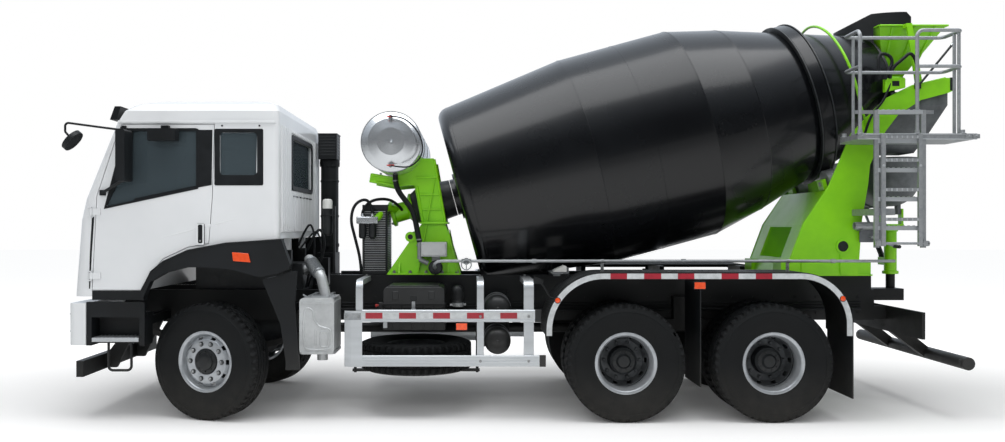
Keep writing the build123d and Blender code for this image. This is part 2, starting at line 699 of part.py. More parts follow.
pipe_z = 1471
with BuildPart() as water_lines:
    # Valve box and pump on the pedestal's left plate, then the long pipe to the rear.
    box((-2170, -1920), (370, 620), (1500, 1640))
    rod((-2060, 480, 1390), (-2060, 620, 1390), 70)
    box((-2110, -2010), (370, 480), (1340, 1500))
    pipe([(-2060, 620, 1390), (-2060, 760, 1390), (-2060, 1000, pipe_z), (-6380, 1000, pipe_z)], 14, 50)
    for place in (guard_posts[0], guard_posts[2]):
        box((place - 20, place + 20), (980, 1020), (guard_top, pipe_z))
    pipe([(-1655, 450, 2309), (-1655, 450, 2200), (-1760, 500, 2060), (-1850, 500, 1860),
          (-1945, 500, 1640)], 24, 100)
save(water_lines, "water_lines")

# ---------------------------------------------------------------- rear pedestal
with BuildPart() as rear_pedestal:
    outline = [(-5475, subframe_top), (-5661, 1809), (-5906, 2171), (-6004, 2387), (-6141, 2710), (-6239, 2817),
               (-6454, 3033), (-6728, 3170), (-7060, 3250), (-7140, 3250), (-7140, 3130), (-7090, 3105),
               (-6817, 3033), (-6591, 2886), (-6464, 2719), (-6317, 2396), (-6298, 2200), (-6239, 1858),
               (-6200, subframe_top)]
    for side in (1, -1):
        near, far = sorted((side * pedestal_y[0], side * pedestal_y[1]))
        side_plate(outline, (near, far))
        near, far = sorted((side * 350, side * pedestal_y[0]))
        box((-6338, -5455), (near, far), (subframe_top, 1442))
    # Front plate between the sides, with its opening.
    lean = [(-5475, subframe_top), (-5500, subframe_top), (-5686, 1809), (-5900, 2130), (-5880, 2145),
            (-5661, 1809)]
    side_plate(lean, (-pedestal_y[0], pedestal_y[0]))
    box((-5700, -5400), (-330, 330), (1480, 1790), Mode.SUBTRACT)
    # Shelf under the rollers, with their bearing blocks.
    low = -(roller_down + roller_radius)
    drum_bar((ring_place - 150, ring_place + 150), (-pedestal_y[0], pedestal_y[0]), (low - 45, low - 15))
    for side in (1, -1):
        near, far = sorted((side * (roller_side - 70), side * (roller_side + 70)))
        for block in (-85, 85):
            drum_bar((ring_place + block - 20, ring_place + block + 20), (near, far),
                     (low - 15, low + roller_radius + 45))
        centre = roller_centre(side)
        turned(((-111, 0), (-111, roller_shaft + running_gap), (111, roller_shaft + running_gap), (111, 0)),
               Plane(origin=centre, x_dir=drum_direction, z_dir=(0, 1, 0)), Axis(centre, drum_direction),
               Mode.SUBTRACT)
    # Beam across the top rear, that carries both hoppers.
    box((-7090, -7040), (-pedestal_y[0], pedestal_y[0]), (3130, 3200))
save(rear_pedestal, "rear_pedestal")


def funnel(sections, wall):
    """Open funnel through rectangles from the top down, each (x from, x to, half width, height)."""
    for inset, mode in ((0, Mode.ADD), (wall, Mode.SUBTRACT)):
        faces = []
        for x_from, x_to, half, height in sections:
            level = height
            if inset and height == sections[0][3]:
                level = height + 5
            if inset and height == sections[-1][3]:
                level = height - 5
            with BuildSketch(Plane.XY.offset(level)) as mouth:
                with Locations((at((x_from + x_to) / 2), 0)):
                    Rectangle(abs(x_to - x_from) - 2 * inset, 2 * (half - inset))
            faces.append(mouth.sketch.faces()[0])
        loft(faces, ruled=True, mode=mode)


def mouth_room():
    """Takes away the room in which the drum's mouth turns."""
    turned(((3700, 0), (3700, cone_radius(3700) + 20), (mouth_reach + 20, mouth_radius + 20),
            (mouth_reach + 20, 0)),
           drum_section, drum_axis, Mode.SUBTRACT)


hopper_top = mouth_z + mouth_radius * axis_x + hopper_lift
rim_front = mouth_x + 128
strut_y = (pedestal_y[0] - 22, pedestal_y[0])
with BuildPart() as feed_hopper:
    funnel(((-rear_reach + 20, mouth_x + 108, 480, hopper_top - 5),
            (mouth_x - 252, mouth_x - 42, 220, mouth_z + 48)), 12)
    with BuildSketch(Plane.XY.offset(hopper_top - 10)) as rim:
        with Locations((at((rim_front - rear_reach) / 2), 0)):
            Rectangle(rear_reach + rim_front, 1000)
            Rectangle(rear_reach + rim_front - 64, 940, mode=Mode.SUBTRACT)
    extrude(rim.sketch, amount=10)
    # Tongue that leads into the drum's mouth.
    side_plate([(mouth_x - 260, mouth_z + 63), (mouth_x - 260, mouth_z + 36),
                (mouth_x + 178, mouth_z - 162),
                (mouth_x + 188, mouth_z - 140), (mouth_x - 222, mouth_z + 45)], (-200, 200))
    # Struts that stand against the pedestal's arms.
    for side in (1, -1):
        near, far = sorted((side * strut_y[0], side * strut_y[1]))
        side_plate([(mouth_x - 222, mouth_z - 212), (mouth_x - 292, mouth_z - 212),
                    (mouth_x - 167, hopper_top - 10),
                    (mouth_x - 112, hopper_top - 10)], (near, far))
        near, far = sorted((side * 495, side * strut_y[1]))
        box((mouth_x - 167, mouth_x - 112), (near, far), (hopper_top - 40, hopper_top - 2))
save(feed_hopper, "feed_hopper")

liner_height = 135
liner_wall = 12
liner_half = 470
liner_rear, liner_front = mouth_x - 212, mouth_x + 338
with BuildPart() as hopper_liner:
    with BuildSketch(Plane.XY.offset(hopper_top - 240)) as sheet:
        with BuildLine():
            inner_half, inner_front = liner_half - liner_wall, liner_front - liner_wall
            ThreePointArc((at(liner_rear), liner_half), (at(liner_front), 0), (at(liner_rear), -liner_half))
            Line((at(liner_rear), -liner_half), (at(liner_rear), -inner_half))
            ThreePointArc((at(liner_rear), -inner_half), (at(inner_front), 0), (at(liner_rear), inner_half))
            Line((at(liner_rear), inner_half), (at(liner_rear), liner_half))
        make_face()
    extrude(sheet.sketch, amount=240 + liner_height)
    # It stands on the rim, and hangs down to the drum ahead of it.
    box((liner_rear - 1, rim_front + 1), (-500, 500), (hopper_top - 241, hopper_top), Mode.SUBTRACT)
    mouth_room()
    top = hopper_top + liner_height
    side_plate([(liner_front + 50, top - 120), (mouth_x + 148, top), (mouth_x + 148, top + 1),
                (liner_front + 50, top + 1)],
               (-500, 500), Mode.SUBTRACT)
    side_plate([(liner_rear - 1, top - 50), (liner_rear + 50, top + 1), (liner_rear - 1, top + 1)],
               (-500, 500), Mode.SUBTRACT)
save(hopper_liner, "hopper_liner")

with BuildPart() as discharge_hopper:
    funnel(((-7105, -6560, 560, 3120), (-7105, -6560, 560, 2990), (-7030, -6580, 290, 2700),
            (-6965, -6635, 165, 2550)), 10)
    mouth_room()
    for side in (1, -1):
        near, far = sorted((side * 550, side * pedestal_y[0]))
        box((-7000, -6900), (near, far), (3085, 3115))
save(discharge_hopper, "discharge_hopper")

# ---------------------------------------------------------------- platform and ladder
deck = (2595, 2640)
ladder_hinge = (1225, 1640)  # (y, z)
ladder_pin = 12
deck_x = (-7037, -5950)
rail_tube = 17
rail_corners = ((-5975, 1180), (-5975, 830), (-6915, 830), (-6915, 1180), (-6500, 1180))
with BuildPart() as platform:
    with BuildSketch(Plane.XY.offset(deck[0])) as plan:
        with BuildLine():
            Polyline((at(deck_x[1]), 1200), (at(deck_x[1]), 800), (at(-6010), 640), (at(deck_x[0]), 640),
                     (at(deck_x[0]), 1200), close=True)
        make_face()
    extrude(plan.sketch, amount=deck[1] - deck[0])
    box((-6380, -6140), (pedestal_y[1], 641), deck)
    top, middle = 3596, 3265
    first, last = rail_corners[0], rail_corners[-1]
    pipe([(*first, deck[1])] + [(x, y, top) for x, y in rail_corners] + [(*last, deck[1])], rail_tube, 60)
    pipe([(x, y, middle) for x, y in rail_corners], rail_tube - 1, 60)
    for x, y in ((-6060, 830), (-6915, 1040), (-6915, 1120)):
        rod((x, y, deck[1]), (x, y, top), rail_tube - 2)
    box((-6830, -6060), (826, 834), (2870, 2905))
    # Fixed ladder: its stiles and treads.
    for x in (-6122, -6550):
        box((x - 22, x + 22), (1175, 1200), (1600, 2862))
        box((x - 22, x + 22), (1200, 1242), (1615, 1665))
    rod((-6550, *ladder_hinge), (-6122, *ladder_hinge), ladder_pin)
    for height in (2842, 2576, 2311, 2045, 1780):
        box((-6550, -6122), (1165, 1200), (height - 20, height + 20))
    box((-6300, -6140), (pedestal_y[1], 1175), (1900, 1960))
save(platform, "platform")

with BuildPart() as ladder_lower:
    for x in (-6168, -6504):
        box((x - 18, x + 18), (1210, 1240), (ladder_hinge[1] - 25, 2640))
    for height in (1860, 2130, 2400, 2610):
        box((-6504, -6168), (1210, 1240), (height - 15, height + 15))
    rod((-6530, *ladder_hinge), (-6140, *ladder_hinge), ladder_pin + running_gap, Mode.SUBTRACT)
save(ladder_lower, "ladder_lower")

# ---------------------------------------------------------------- chute
jack_foot = (-150, 1430)  # (y, z) of the jack's lower pin on the swinging arm
jack_eye = (-620, 1960)  # (y, z) of its upper pin on the chute
jack_line = Vector(0, jack_eye[0] - jack_foot[0], jack_eye[1] - jack_foot[1])
jack_way = jack_line.normalized()


def jack_point(reach, x=0):
    """Point on the jack's line, so far above its foot."""
    return (chute_pivot + x, jack_foot[0] + jack_way.Y * reach, jack_foot[1] + jack_way.Z * reach)


post = (chute_pivot, 0)
with BuildPart() as chute_arm:
    rod((*post, 1300), (*post, 1790), 62)
    rod((*post, 1299), (*post, 1762), 45 + running_gap, Mode.SUBTRACT)
    box((chute_pivot - 120, chute_pivot + 120), (-50, 50), (1790, 1820))
    for side in (1, -1):
        near, far = sorted((side * 100, side * 120))
        box((chute_pivot + near, chute_pivot + far), (-40, 40), (1820, 1980))
        near, far = sorted((side * 36, side * 50))
        box((chute_pivot + near, chute_pivot + far), (-180, -40), (1390, 1470))
    rod((chute_pivot - 121, 0, chute_hinge_z), (chute_pivot + 121, 0, chute_hinge_z), 18 + running_gap,
        Mode.SUBTRACT)
    rod((chute_pivot - 50, *jack_foot), (chute_pivot + 50, *jack_foot), 12)
save(chute_arm, "chute_arm")

chute_wall = 8
chute_length = 1150
with BuildPart() as chute:
    # Round bowl at the swivel end, then the trough.
    with BuildSketch(Plane(origin=(at(chute_pivot), 0, chute_centre_z), x_dir=(1, 0, 0),
                           z_dir=(0, -1, 0))) as half:
        with BuildLine():
            for r in (chute_radius, chute_radius - chute_wall):
                Line((r, chute_rim_z - chute_centre_z), (r, 0))
                ThreePointArc((r, 0), (r * math.sqrt(0.5), -r * math.sqrt(0.5)), (0, -r))
            Line((0, -chute_radius), (0, -chute_radius + chute_wall))
            Line((chute_radius, chute_rim_z - chute_centre_z),
                 (chute_radius - chute_wall, chute_rim_z - chute_centre_z))
        make_face()
    revolve(half.sketch, axis=Axis((at(chute_pivot), 0, 0), (0, 0, 1)))
    box((chute_pivot - 400, chute_pivot + 400), (-400, 0), (1900, 2600), Mode.SUBTRACT)
    with BuildSketch(Plane(origin=(at(chute_pivot), 0, chute_centre_z), x_dir=(1, 0, 0),
                           z_dir=(0, -1, 0))) as trough:
        with BuildLine():
            for r in (chute_radius, chute_radius - chute_wall):
                Line((r, chute_rim_z - chute_centre_z), (r, 0))
                ThreePointArc((r, 0), (0, -r), (-r, 0))
                Line((-r, 0), (-r, chute_rim_z - chute_centre_z))
            for s in (1, -1):
                Line((s * chute_radius, chute_rim_z - chute_centre_z),
                     (s * (chute_radius - chute_wall), chute_rim_z - chute_centre_z))
        make_face()
    extrude(trough.sketch, amount=chute_length)
    # Hinge lugs under the bowl and the jack's lug under the trough.
    for side in (1, -1):
        near, far = sorted((side * 60, side * 94))
        box((chute_pivot + near, chute_pivot + far), (-35, 35), (1920, 2040))
    rod((chute_pivot - 120, 0, chute_hinge_z), (chute_pivot + 120, 0, chute_hinge_z), 18)
    for side in (1, -1):
        near, far = sorted((side * 22, side * 37))
        box((chute_pivot + near, chute_pivot + far), (jack_eye[0] - 35, jack_eye[0] + 35), (1930, 2015))
save(chute, "chute")

with BuildPart() as jack_tube:
    rod(jack_point(20), jack_point(420), 28)
    rod(jack_point(-1), jack_point(421), 15 + running_gap, Mode.SUBTRACT)
    rod((chute_pivot - 28, *jack_foot), (chute_pivot + 28, *jack_foot), 30)
    rod((chute_pivot - 29, *jack_foot), (chute_pivot + 29, *jack_foot), 12 + running_gap, Mode.SUBTRACT)
save(jack_tube, "jack_tube")

with BuildPart() as jack_rod:
    rod(jack_point(260), jack_point(jack_line.length - 22), 15)
    rod((chute_pivot - 16, *jack_eye), (chute_pivot + 16, *jack_eye), 26)
    rod((chute_pivot - 17, *jack_eye), (chute_pivot + 17, *jack_eye), 12, Mode.SUBTRACT)
save(jack_rod, "jack_rod")

# ---------------------------------------------------------------- cab
bow = 50
bottom_z = 1150
# Plan sections as (height, front at the corners ahead of the mark, radius of the front corners).
cab_sections = ((bottom_z, 1255, 120), (1855, 1200, 115), (2050, 1155, 110), (roof_joint, 855, 50))
rear_corner = 50
inner_side = cab_side - cab_wall


def plan_face(height, front, half, rear, front_fillet, rear_fillet):
    """Horizontal section of the cab: bowed front, rounded corners."""
    with BuildSketch(Plane.XY.offset(height)) as plan:
        with BuildLine():
            Polyline((at(front), half), (at(rear), half), (at(rear), -half), (at(front), -half))
            ThreePointArc((at(front), -half), (at(front + bow), 0), (at(front), half))
        make_face()
        fillet(plan.vertices().sort_by(Axis.X)[-2:], front_fillet)
        fillet(plan.vertices().sort_by(Axis.X)[:2], rear_fillet)
    return plan.sketch.faces()[0]


def cab_body(inset, mode=Mode.ADD):
    """The cab's outer form, or the same form so far inside it."""
    faces = []
    for height, front, corner in cab_sections:
        faces.append(plan_face(height, front - inset, cab_side - inset, cab_rear + inset,
                               max(corner - inset, 12), max(rear_corner - inset, 8)))
    loft(faces, ruled=True, mode=mode)


def side_panel(outline, y, grow=0, mode=Mode.ADD):
    """Side plate whose outline is moved outwards by so much."""
    plane = Plane(origin=(0, y[1], 0), x_dir=(1, 0, 0), z_dir=(0, -1, 0))
    with BuildSketch(plane) as profile:
        with BuildLine():
            Polyline(*along(outline), close=True)
        make_face()
        if grow:
            offset(amount=grow, kind=Kind.INTERSECTION)
    extrude(profile.sketch, amount=y[1] - y[0], mode=mode)


door_outline = [(1075, 1212), (1033, 2070), (849, 2627), (800, 2733), (-44, 2733), (-25, 2070), (8, 1640),
                (200, 1606), (425, 1501), (560, 1346), (634, 1212)]
door_hinge = (1083, cab_side + 16)  # ahead of the mark, y
door_hinge_heights = ((1310, 1370), (1900, 1960))
door_pin = 8
door_window = [(950, 1975), (925, 2060), (765, 2680), (113, 2680), (113, 2155)]
quarter_window = [(-99, 2268), (-99, 2658), (-440, 2658), (-432, 2268)]
rear_window = ((-550, 550), (2190, 2660))
screen = ((-1000, 1000), (2100, 2700))
arch_line = [(650, 1100), (619, floor_z), (529, 1380), (409, 1478), (189, 1582), (-170, 1646), (-700, 1687)]
deck_z = 1720
sill_back = 1079

with BuildPart() as cab_shell:
    cab_body(0)
    cab_body(cab_wall, Mode.SUBTRACT)
    # Floor that follows the wheel arch and closes the engine's cover.
    floor_top = [(1180, floor_z + floor_wall), (640, floor_z + floor_wall), (430, 1520), (230, deck_z),
                 (cab_rear + 20, deck_z)]
    floor_line = [(1180, floor_z)] + arch_line[1:-1] + [(cab_rear + 20, 1681)]
    side_plate(floor_line + floor_top[::-1], (-inner_side - 10, inner_side + 10))
    side_plate(arch_line + [(-700, 1000), (650, 1000)], (-cab_side - 1, cab_side + 1), Mode.SUBTRACT)
    box((0, sill_back), (-cab_side - 1, cab_side + 1), (1100, floor_z), Mode.SUBTRACT)
    box((sill_back - 1, cab_sections[0][1] - skirt_wall - 10), (-1100, 1100), (1100, floor_z),
        Mode.SUBTRACT)
    for side in (1, -1):
        near, far = sorted((side * (inner_side - 30), side * (cab_side + 5)))
        side_panel(door_outline, (near, far), move_gap, Mode.SUBTRACT)
        side_panel(quarter_window, (near, far), 0, Mode.SUBTRACT)
    box((600, 1300), *screen, Mode.SUBTRACT)
    box((cab_rear - 20, cab_rear + 100), *rear_window, Mode.SUBTRACT)
    # Ears of the tilting hinge, outside the frame's.
    pin_x, pin_z = cab_pivot
    ear = [(pin_x + 30, pin_z - 15), (pin_x + 30, pin_z + 15), (pin_x + 8, pin_z + 32),
           (pin_x - 70, pin_z + 75), (pin_x - 75, floor_z + 5),
           (pin_x - 142, floor_z + 5), (pin_x - 142, pin_z + 70), (pin_x - 122, pin_z + 40),
           (pin_x - 32, pin_z - 20), (pin_x - 12, pin_z - 30), (pin_x + 18, pin_z - 30)]
    for side in (1, -1):
        near, far = sorted((side * cab_ear_y[0], side * cab_ear_y[1]))
        side_plate(ear, (near, far))
    rod((pin_x, -cab_ear_y[1], pin_z), (pin_x, cab_ear_y[1], pin_z), cab_pin_radius)
    # Door hinges: a pin between two lugs.
    for side in (1, -1):
        near, far = sorted((side * (cab_side - 15), side * (cab_side + 26)))
        for low, high in door_hinge_heights:
            for foot in (low - 16, high + 6):
                box((door_hinge[0] - 7, door_hinge[0] + 32), (near, far), (foot, foot + 10))
            rod((door_hinge[0], side * door_hinge[1], low - 16),
                (door_hinge[0], side * door_hinge[1], high + 16), door_pin)
    # Feet that rest on the frame's posts.
    for side in (1, -1):
        near, far = sorted((side * 350, side * 425))
        box((-600, -540), (near, far), (1560 + seat_gap, 1700))
save(cab_shell, "cab_shell")

# Roof sections as (height, front at the corners, rear, half width, radius of the corners).
roof_sections = ((roof_joint, 855, -640, 1150, 50), (2860, 790, -640, 1150, 60),
                 (2925, 700, -615, 1110, 90),
                 (2965, 540, -520, 980, 120))
roof_wall = 30
with BuildPart() as cab_roof:
    loft([plan_face(z, front, half, rear, corner, corner) for z, front, rear, half,
          corner in roof_sections], ruled=True)
    loft([plan_face(z - (roof_wall if z > roof_joint else 0), front - roof_wall, half - roof_wall,
                    rear + roof_wall, 30, 30)
          for z, front, rear, half, corner in roof_sections], ruled=True, mode=Mode.SUBTRACT)
save(cab_roof, "cab_roof")

with BuildPart() as cab_trim:
    # Wheel arch flares and sills.
    flare = arch_line[1:-1] + [(-669, 1679), (-749, 1450), (-739, 1400), (-629, 1360), (-470, 1330),
                               (-209, 1400), (12, 1420), (189, 1420), (389, 1370), (529, 1290), (590, 1150),
                               (590, 1118), (619, 1118)]
    side_plate(flare, (1090, 1150))
    side_plate(flare, (1150, 1195))
    side_plate([(619, floor_z), (619, 1118), (sill_back, 1118), (sill_back, floor_z)], (1105, 1150))
    mirror(about=Plane.XZ)
    # Sun visor above the windscreen on its two brackets.
    side_plate([(890, 2790), (955, 2790), (910, 2915), (855, 2915)], (-1050, 1050))
    for y in (-600, 600):
        box((740, 880), (y - 20, y + 20), (2850, 2880))
    loft([plan_face(z, front, half, rear, corner, corner) for z, front, rear, half,
          corner in roof_sections],
         ruled=True, mode=Mode.SUBTRACT)
save(cab_trim, "cab_trim")

glass_wall = 6
with BuildPart() as cab_glass:
    cab_body(15)
    cab_body(15 + glass_wall, Mode.SUBTRACT)
    box((600, 1300), *screen, Mode.INTERSECT)
    for side in (1, -1):
        near, far = sorted((side * (cab_side - 20), side * (cab_side - 14)))
        side_plate(quarter_window, (near, far))
    box((cab_rear + 15, cab_rear + 21), *rear_window)
save(cab_glass, "cab_glass")

with BuildPart() as dashboard:
    cab_body(cab_wall)
    side_plate([(800, 1990), (830, 1760), (1300, 1760), (1300, 2040), (860, 2040)], (-1085, 1085),
               Mode.INTERSECT)
    rod((870, 550, 1880), (640, 550, 2080), 35)
    with Locations(Plane(origin=(at(640), 550, 2080), z_dir=(-0.755, 0, 0.656)).location):
        Torus(220, 16)
        Box(440, 40, 14)
        Box(40, 440, 14)
save(dashboard, "dashboard")

with BuildPart() as seats:
    for y in (-550, 550):
        box((-330, 200), (y - 260, y + 260), (deck_z, 1900))
        side_plate([(-250, 1900), (-330, 2480), (-440, 2480), (-400, 1800), (-330, 1800), (-330, 1900)],
                   (y - 240, y + 240))
        side_plate([(-350, 2490), (-370, 2640), (-430, 2640), (-430, 2490)], (y - 130, y + 130))
        box((-410, -370), (y - 60, y + 60), (2470, 2500))
save(seats, "seats")

with BuildPart() as door_left:
    side_panel(door_outline, (inner_side, cab_side))
    side_panel(door_window, (inner_side - 1, cab_side + 1), 0, Mode.SUBTRACT)
    for low, high in door_hinge_heights:
        box((1000, 1075), (cab_side, cab_side + 14), (low, high))
        rod((*door_hinge, low), (*door_hinge, high), 14)
        rod((*door_hinge, low - 1), (*door_hinge, high + 1), door_pin + running_gap, Mode.SUBTRACT)
    box((45, 115), (cab_side, cab_side + 25), (1625, 1820))
    box((55, 105), (cab_side - 1, cab_side + 15), (1650, 1795), Mode.SUBTRACT)
save(door_left, "door_left")
save(mirrored(door_left), "door_right")

with BuildPart() as door_glass_left:
    side_plate(door_window, (cab_side - 24, cab_side - 18))
save(door_glass_left, "door_glass_left")
save(mirrored(door_glass_left), "door_glass_right")

with BuildPart() as mirrors_left:
    box((680, 762), (1220, 1420), (2200, 2668))
    fillet(mirrors_left.edges().filter_by(Axis.Y), 25)
    box((770, 806), (cab_side, 1185), (2650, 2710))
    rod((788, 1170, 2690), (730, 1290, 2690), 14)
    rod((730, 1290, 2640), (730, 1290, 2706), 22)
    box((950, 1000), (cab_side, 1180), (2080, 2130))
    rod((975, 1170, 2105), (740, 1280, 2215), 14)
    # Front mirror on its long arm.
    pipe([(790, 1172, 2680), (960, 1200, 2700), (1300, 1210, 2745), (1300, 1210, 2660),
          (1245, 1210, 2600)], 10, 30)
    rod((1219, 1210, 2568), (1249, 1210, 2594), 105)
    # Kerb mirror over the window.
    box((270, 520), (1180, 1300), (2575, 2680))
    box((360, 430), (cab_side, 1200), (2680, 2720))
save(mirrors_left, "mirrors_left")
save(mirrored(mirrors_left), "mirrors_right")
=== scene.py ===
import bmesh
import bpy
import json
import math
from mathutils import Matrix, Vector


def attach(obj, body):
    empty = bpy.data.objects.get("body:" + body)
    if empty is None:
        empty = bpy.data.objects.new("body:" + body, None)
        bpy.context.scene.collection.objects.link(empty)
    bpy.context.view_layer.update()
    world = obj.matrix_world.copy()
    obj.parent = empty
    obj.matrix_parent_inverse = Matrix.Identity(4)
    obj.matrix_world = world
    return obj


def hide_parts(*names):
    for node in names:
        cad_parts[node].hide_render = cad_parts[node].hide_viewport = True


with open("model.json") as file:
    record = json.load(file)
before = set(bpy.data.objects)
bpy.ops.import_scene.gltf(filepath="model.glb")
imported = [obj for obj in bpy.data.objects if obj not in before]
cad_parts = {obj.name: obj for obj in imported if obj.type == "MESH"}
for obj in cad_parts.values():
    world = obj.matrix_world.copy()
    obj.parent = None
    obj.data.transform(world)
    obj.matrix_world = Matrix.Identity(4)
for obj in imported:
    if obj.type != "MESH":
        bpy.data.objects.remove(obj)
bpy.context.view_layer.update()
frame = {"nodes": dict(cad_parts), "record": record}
scene = bpy.context.scene

# Places along the truck are given in metres ahead of a mark near the front wheels' centre.
mark = 2.9075


def at(place):
    return mark + place


# ---------------------------------------------------------------- camera, light and floor
camera = bpy.data.objects.new("camera", bpy.data.cameras.new("camera"))
scene.collection.objects.link(camera)
camera.location = (at(-2.394), 9.5, 1.797)
camera.rotation_euler = (math.radians(90), 0, math.radians(180))
camera.data.lens = 32.5
camera.data.shift_x = 0.0329
camera.data.shift_y = 0.0052
camera.data.clip_end = 200
scene.camera = camera
scene.view_settings.view_transform = "Standard"


def add(tree, kind, inputs=None, stops=None, **settings):
    """Adds a node; each input is a value or another node's socket, and stops are a ramp's colours."""
    node = tree.nodes.new(kind)
    for name, value in settings.items():
        setattr(node, name, value)
    for name, value in (inputs or {}).items():
        if isinstance(value, bpy.types.NodeSocket):
            tree.links.new(value, node.inputs[name])
        else:
            node.inputs[name].default_value = value
    if stops:
        ramp = node.color_ramp.elements
        while len(ramp) < len(stops):
            ramp.new(0.5)
        for element, (place, colour) in zip(ramp, stops):
            element.position = place
            element.color = colour
    return node


def linear(code):
    """Linear colour of an sRGB hex value."""
    channels = [int(code[i:i + 2], 16) / 255 for i in (1, 3, 5)]
    return tuple(c / 12.92 if c <= 0.04045 else ((c + 0.055) / 1.055) ** 2.4 for c in channels) + (1,)


def pale_room():
    """World that looks white, and still lights the truck at a plain level."""
    world = bpy.data.worlds.new("pale_room")
    scene.world = world
    world.use_nodes = True
    tree = world.node_tree
    tree.nodes.clear()
    path = add(tree, "ShaderNodeLightPath")
    seen = add(tree, "ShaderNodeMath", {0: path.outputs["Is Camera Ray"],
        1: path.outputs["Is Transmission Ray"]}, operation="MAXIMUM")
    # Reflections meet a bright ceiling and far wall and a darker near wall: dark paint keeps its depth.
    way = add(tree, "ShaderNodeTexCoord")
    level = add(tree, "ShaderNodeSeparateXYZ", {"Vector": way.outputs["Generated"]})
    depth = add(tree, "ShaderNodeMath", {0: level.outputs["Y"], 1: -0.6, 2: level.outputs["Z"]},
        operation="MULTIPLY_ADD")
    ceiling = add(tree, "ShaderNodeMapRange",
        {"Value": depth.outputs[0], "From Min": -0.15, "From Max": 0.7, "To Min": 0.1, "To Max": 1.15})
    room = add(tree, "ShaderNodeBackground", {"Color": linear("#DDE6F1"), "Strength": ceiling.outputs[0]})
    lit = add(tree, "ShaderNodeBackground", {"Color": linear("#F4F6F8"), "Strength": 0.5})
    white = add(tree, "ShaderNodeBackground", {"Color": (1, 1, 1, 1), "Strength": 1.0})
    walls = add(tree, "ShaderNodeMixShader", {0: path.outputs["Is Glossy Ray"], 1: lit.outputs[0],
        2: room.outputs[0]})
    mix = add(tree, "ShaderNodeMixShader", {0: seen.outputs[0], 1: walls.outputs[0], 2: white.outputs[0]})
    add(tree, "ShaderNodeOutputWorld", {"Surface": mix.outputs[0]})


def pale_floor():
    """Wide floor with the truck's shadow on it."""
    mesh = bpy.data.meshes.new("floor")
    shape = bmesh.new()
    bmesh.ops.create_grid(shape, x_segments=1, y_segments=1, size=60)
    shape.to_mesh(mesh)
    floor = bpy.data.objects.new("floor", mesh)
    scene.collection.objects.link(floor)
    material = bpy.data.materials.new("floor_paint")
    material.use_nodes = True
    tree = material.node_tree
    tree.nodes.clear()
    path = add(tree, "ShaderNodeLightPath")
    paint = add(tree, "ShaderNodeBsdfDiffuse", {"Color": linear("#F4F4F4")})
    # The floor glows only away from the truck, so that the shadow under it stays deep.
    place = add(tree, "ShaderNodeTexCoord")
    spread = add(tree, "ShaderNodeVectorMath", {0: place.outputs["Object"], 1: (0.45, 1, 1)},
        operation="MULTIPLY")
    reach = add(tree, "ShaderNodeVectorMath", {0: spread.outputs[0]}, operation="LENGTH")
    level = add(tree, "ShaderNodeMapRange", {"Value": reach.outputs["Value"], "From Min": 1.8,
        "From Max": 5.0, "To Min": 0.04, "To Max": 0.56})
    glow = add(tree, "ShaderNodeEmission", {"Color": (1, 1, 1, 1), "Strength": level.outputs[0]})
    none = add(tree, "ShaderNodeEmission", {"Strength": 0.0})
    seen = add(tree, "ShaderNodeMixShader", {0: path.outputs["Is Camera Ray"], 1: none.outputs[0],
        2: glow.outputs[0]})
    both = add(tree, "ShaderNodeAddShader", {0: paint.outputs[0], 1: seen.outputs[0]})
    add(tree, "ShaderNodeOutputMaterial", {"Surface": both.outputs[0]})
    mesh.materials.append(material)


def soft_lamp(name, place, aim, size, power, mirrored=True):
    light = bpy.data.lights.new(name, "AREA")
    light.shape = "RECTANGLE"
    light.size, light.size_y = size
    light.energy = power
    lamp = bpy.data.objects.new(name, light)
    scene.collection.objects.link(lamp)
    lamp.location = place
    lamp.rotation_euler = (Vector(aim) - Vector(place)).to_track_quat("-Z", "Y").to_euler()
    lamp.visible_glossy = mirrored


pale_room()
pale_floor()
soft_lamp("roof_light", (0, 2.5, 10.5), (0, 0, 1.5), (14, 7), 900)
soft_lamp("side_light", (2.0, 11, 5.5), (0, 0, 1.5), (10, 4), 330, mirrored=False)


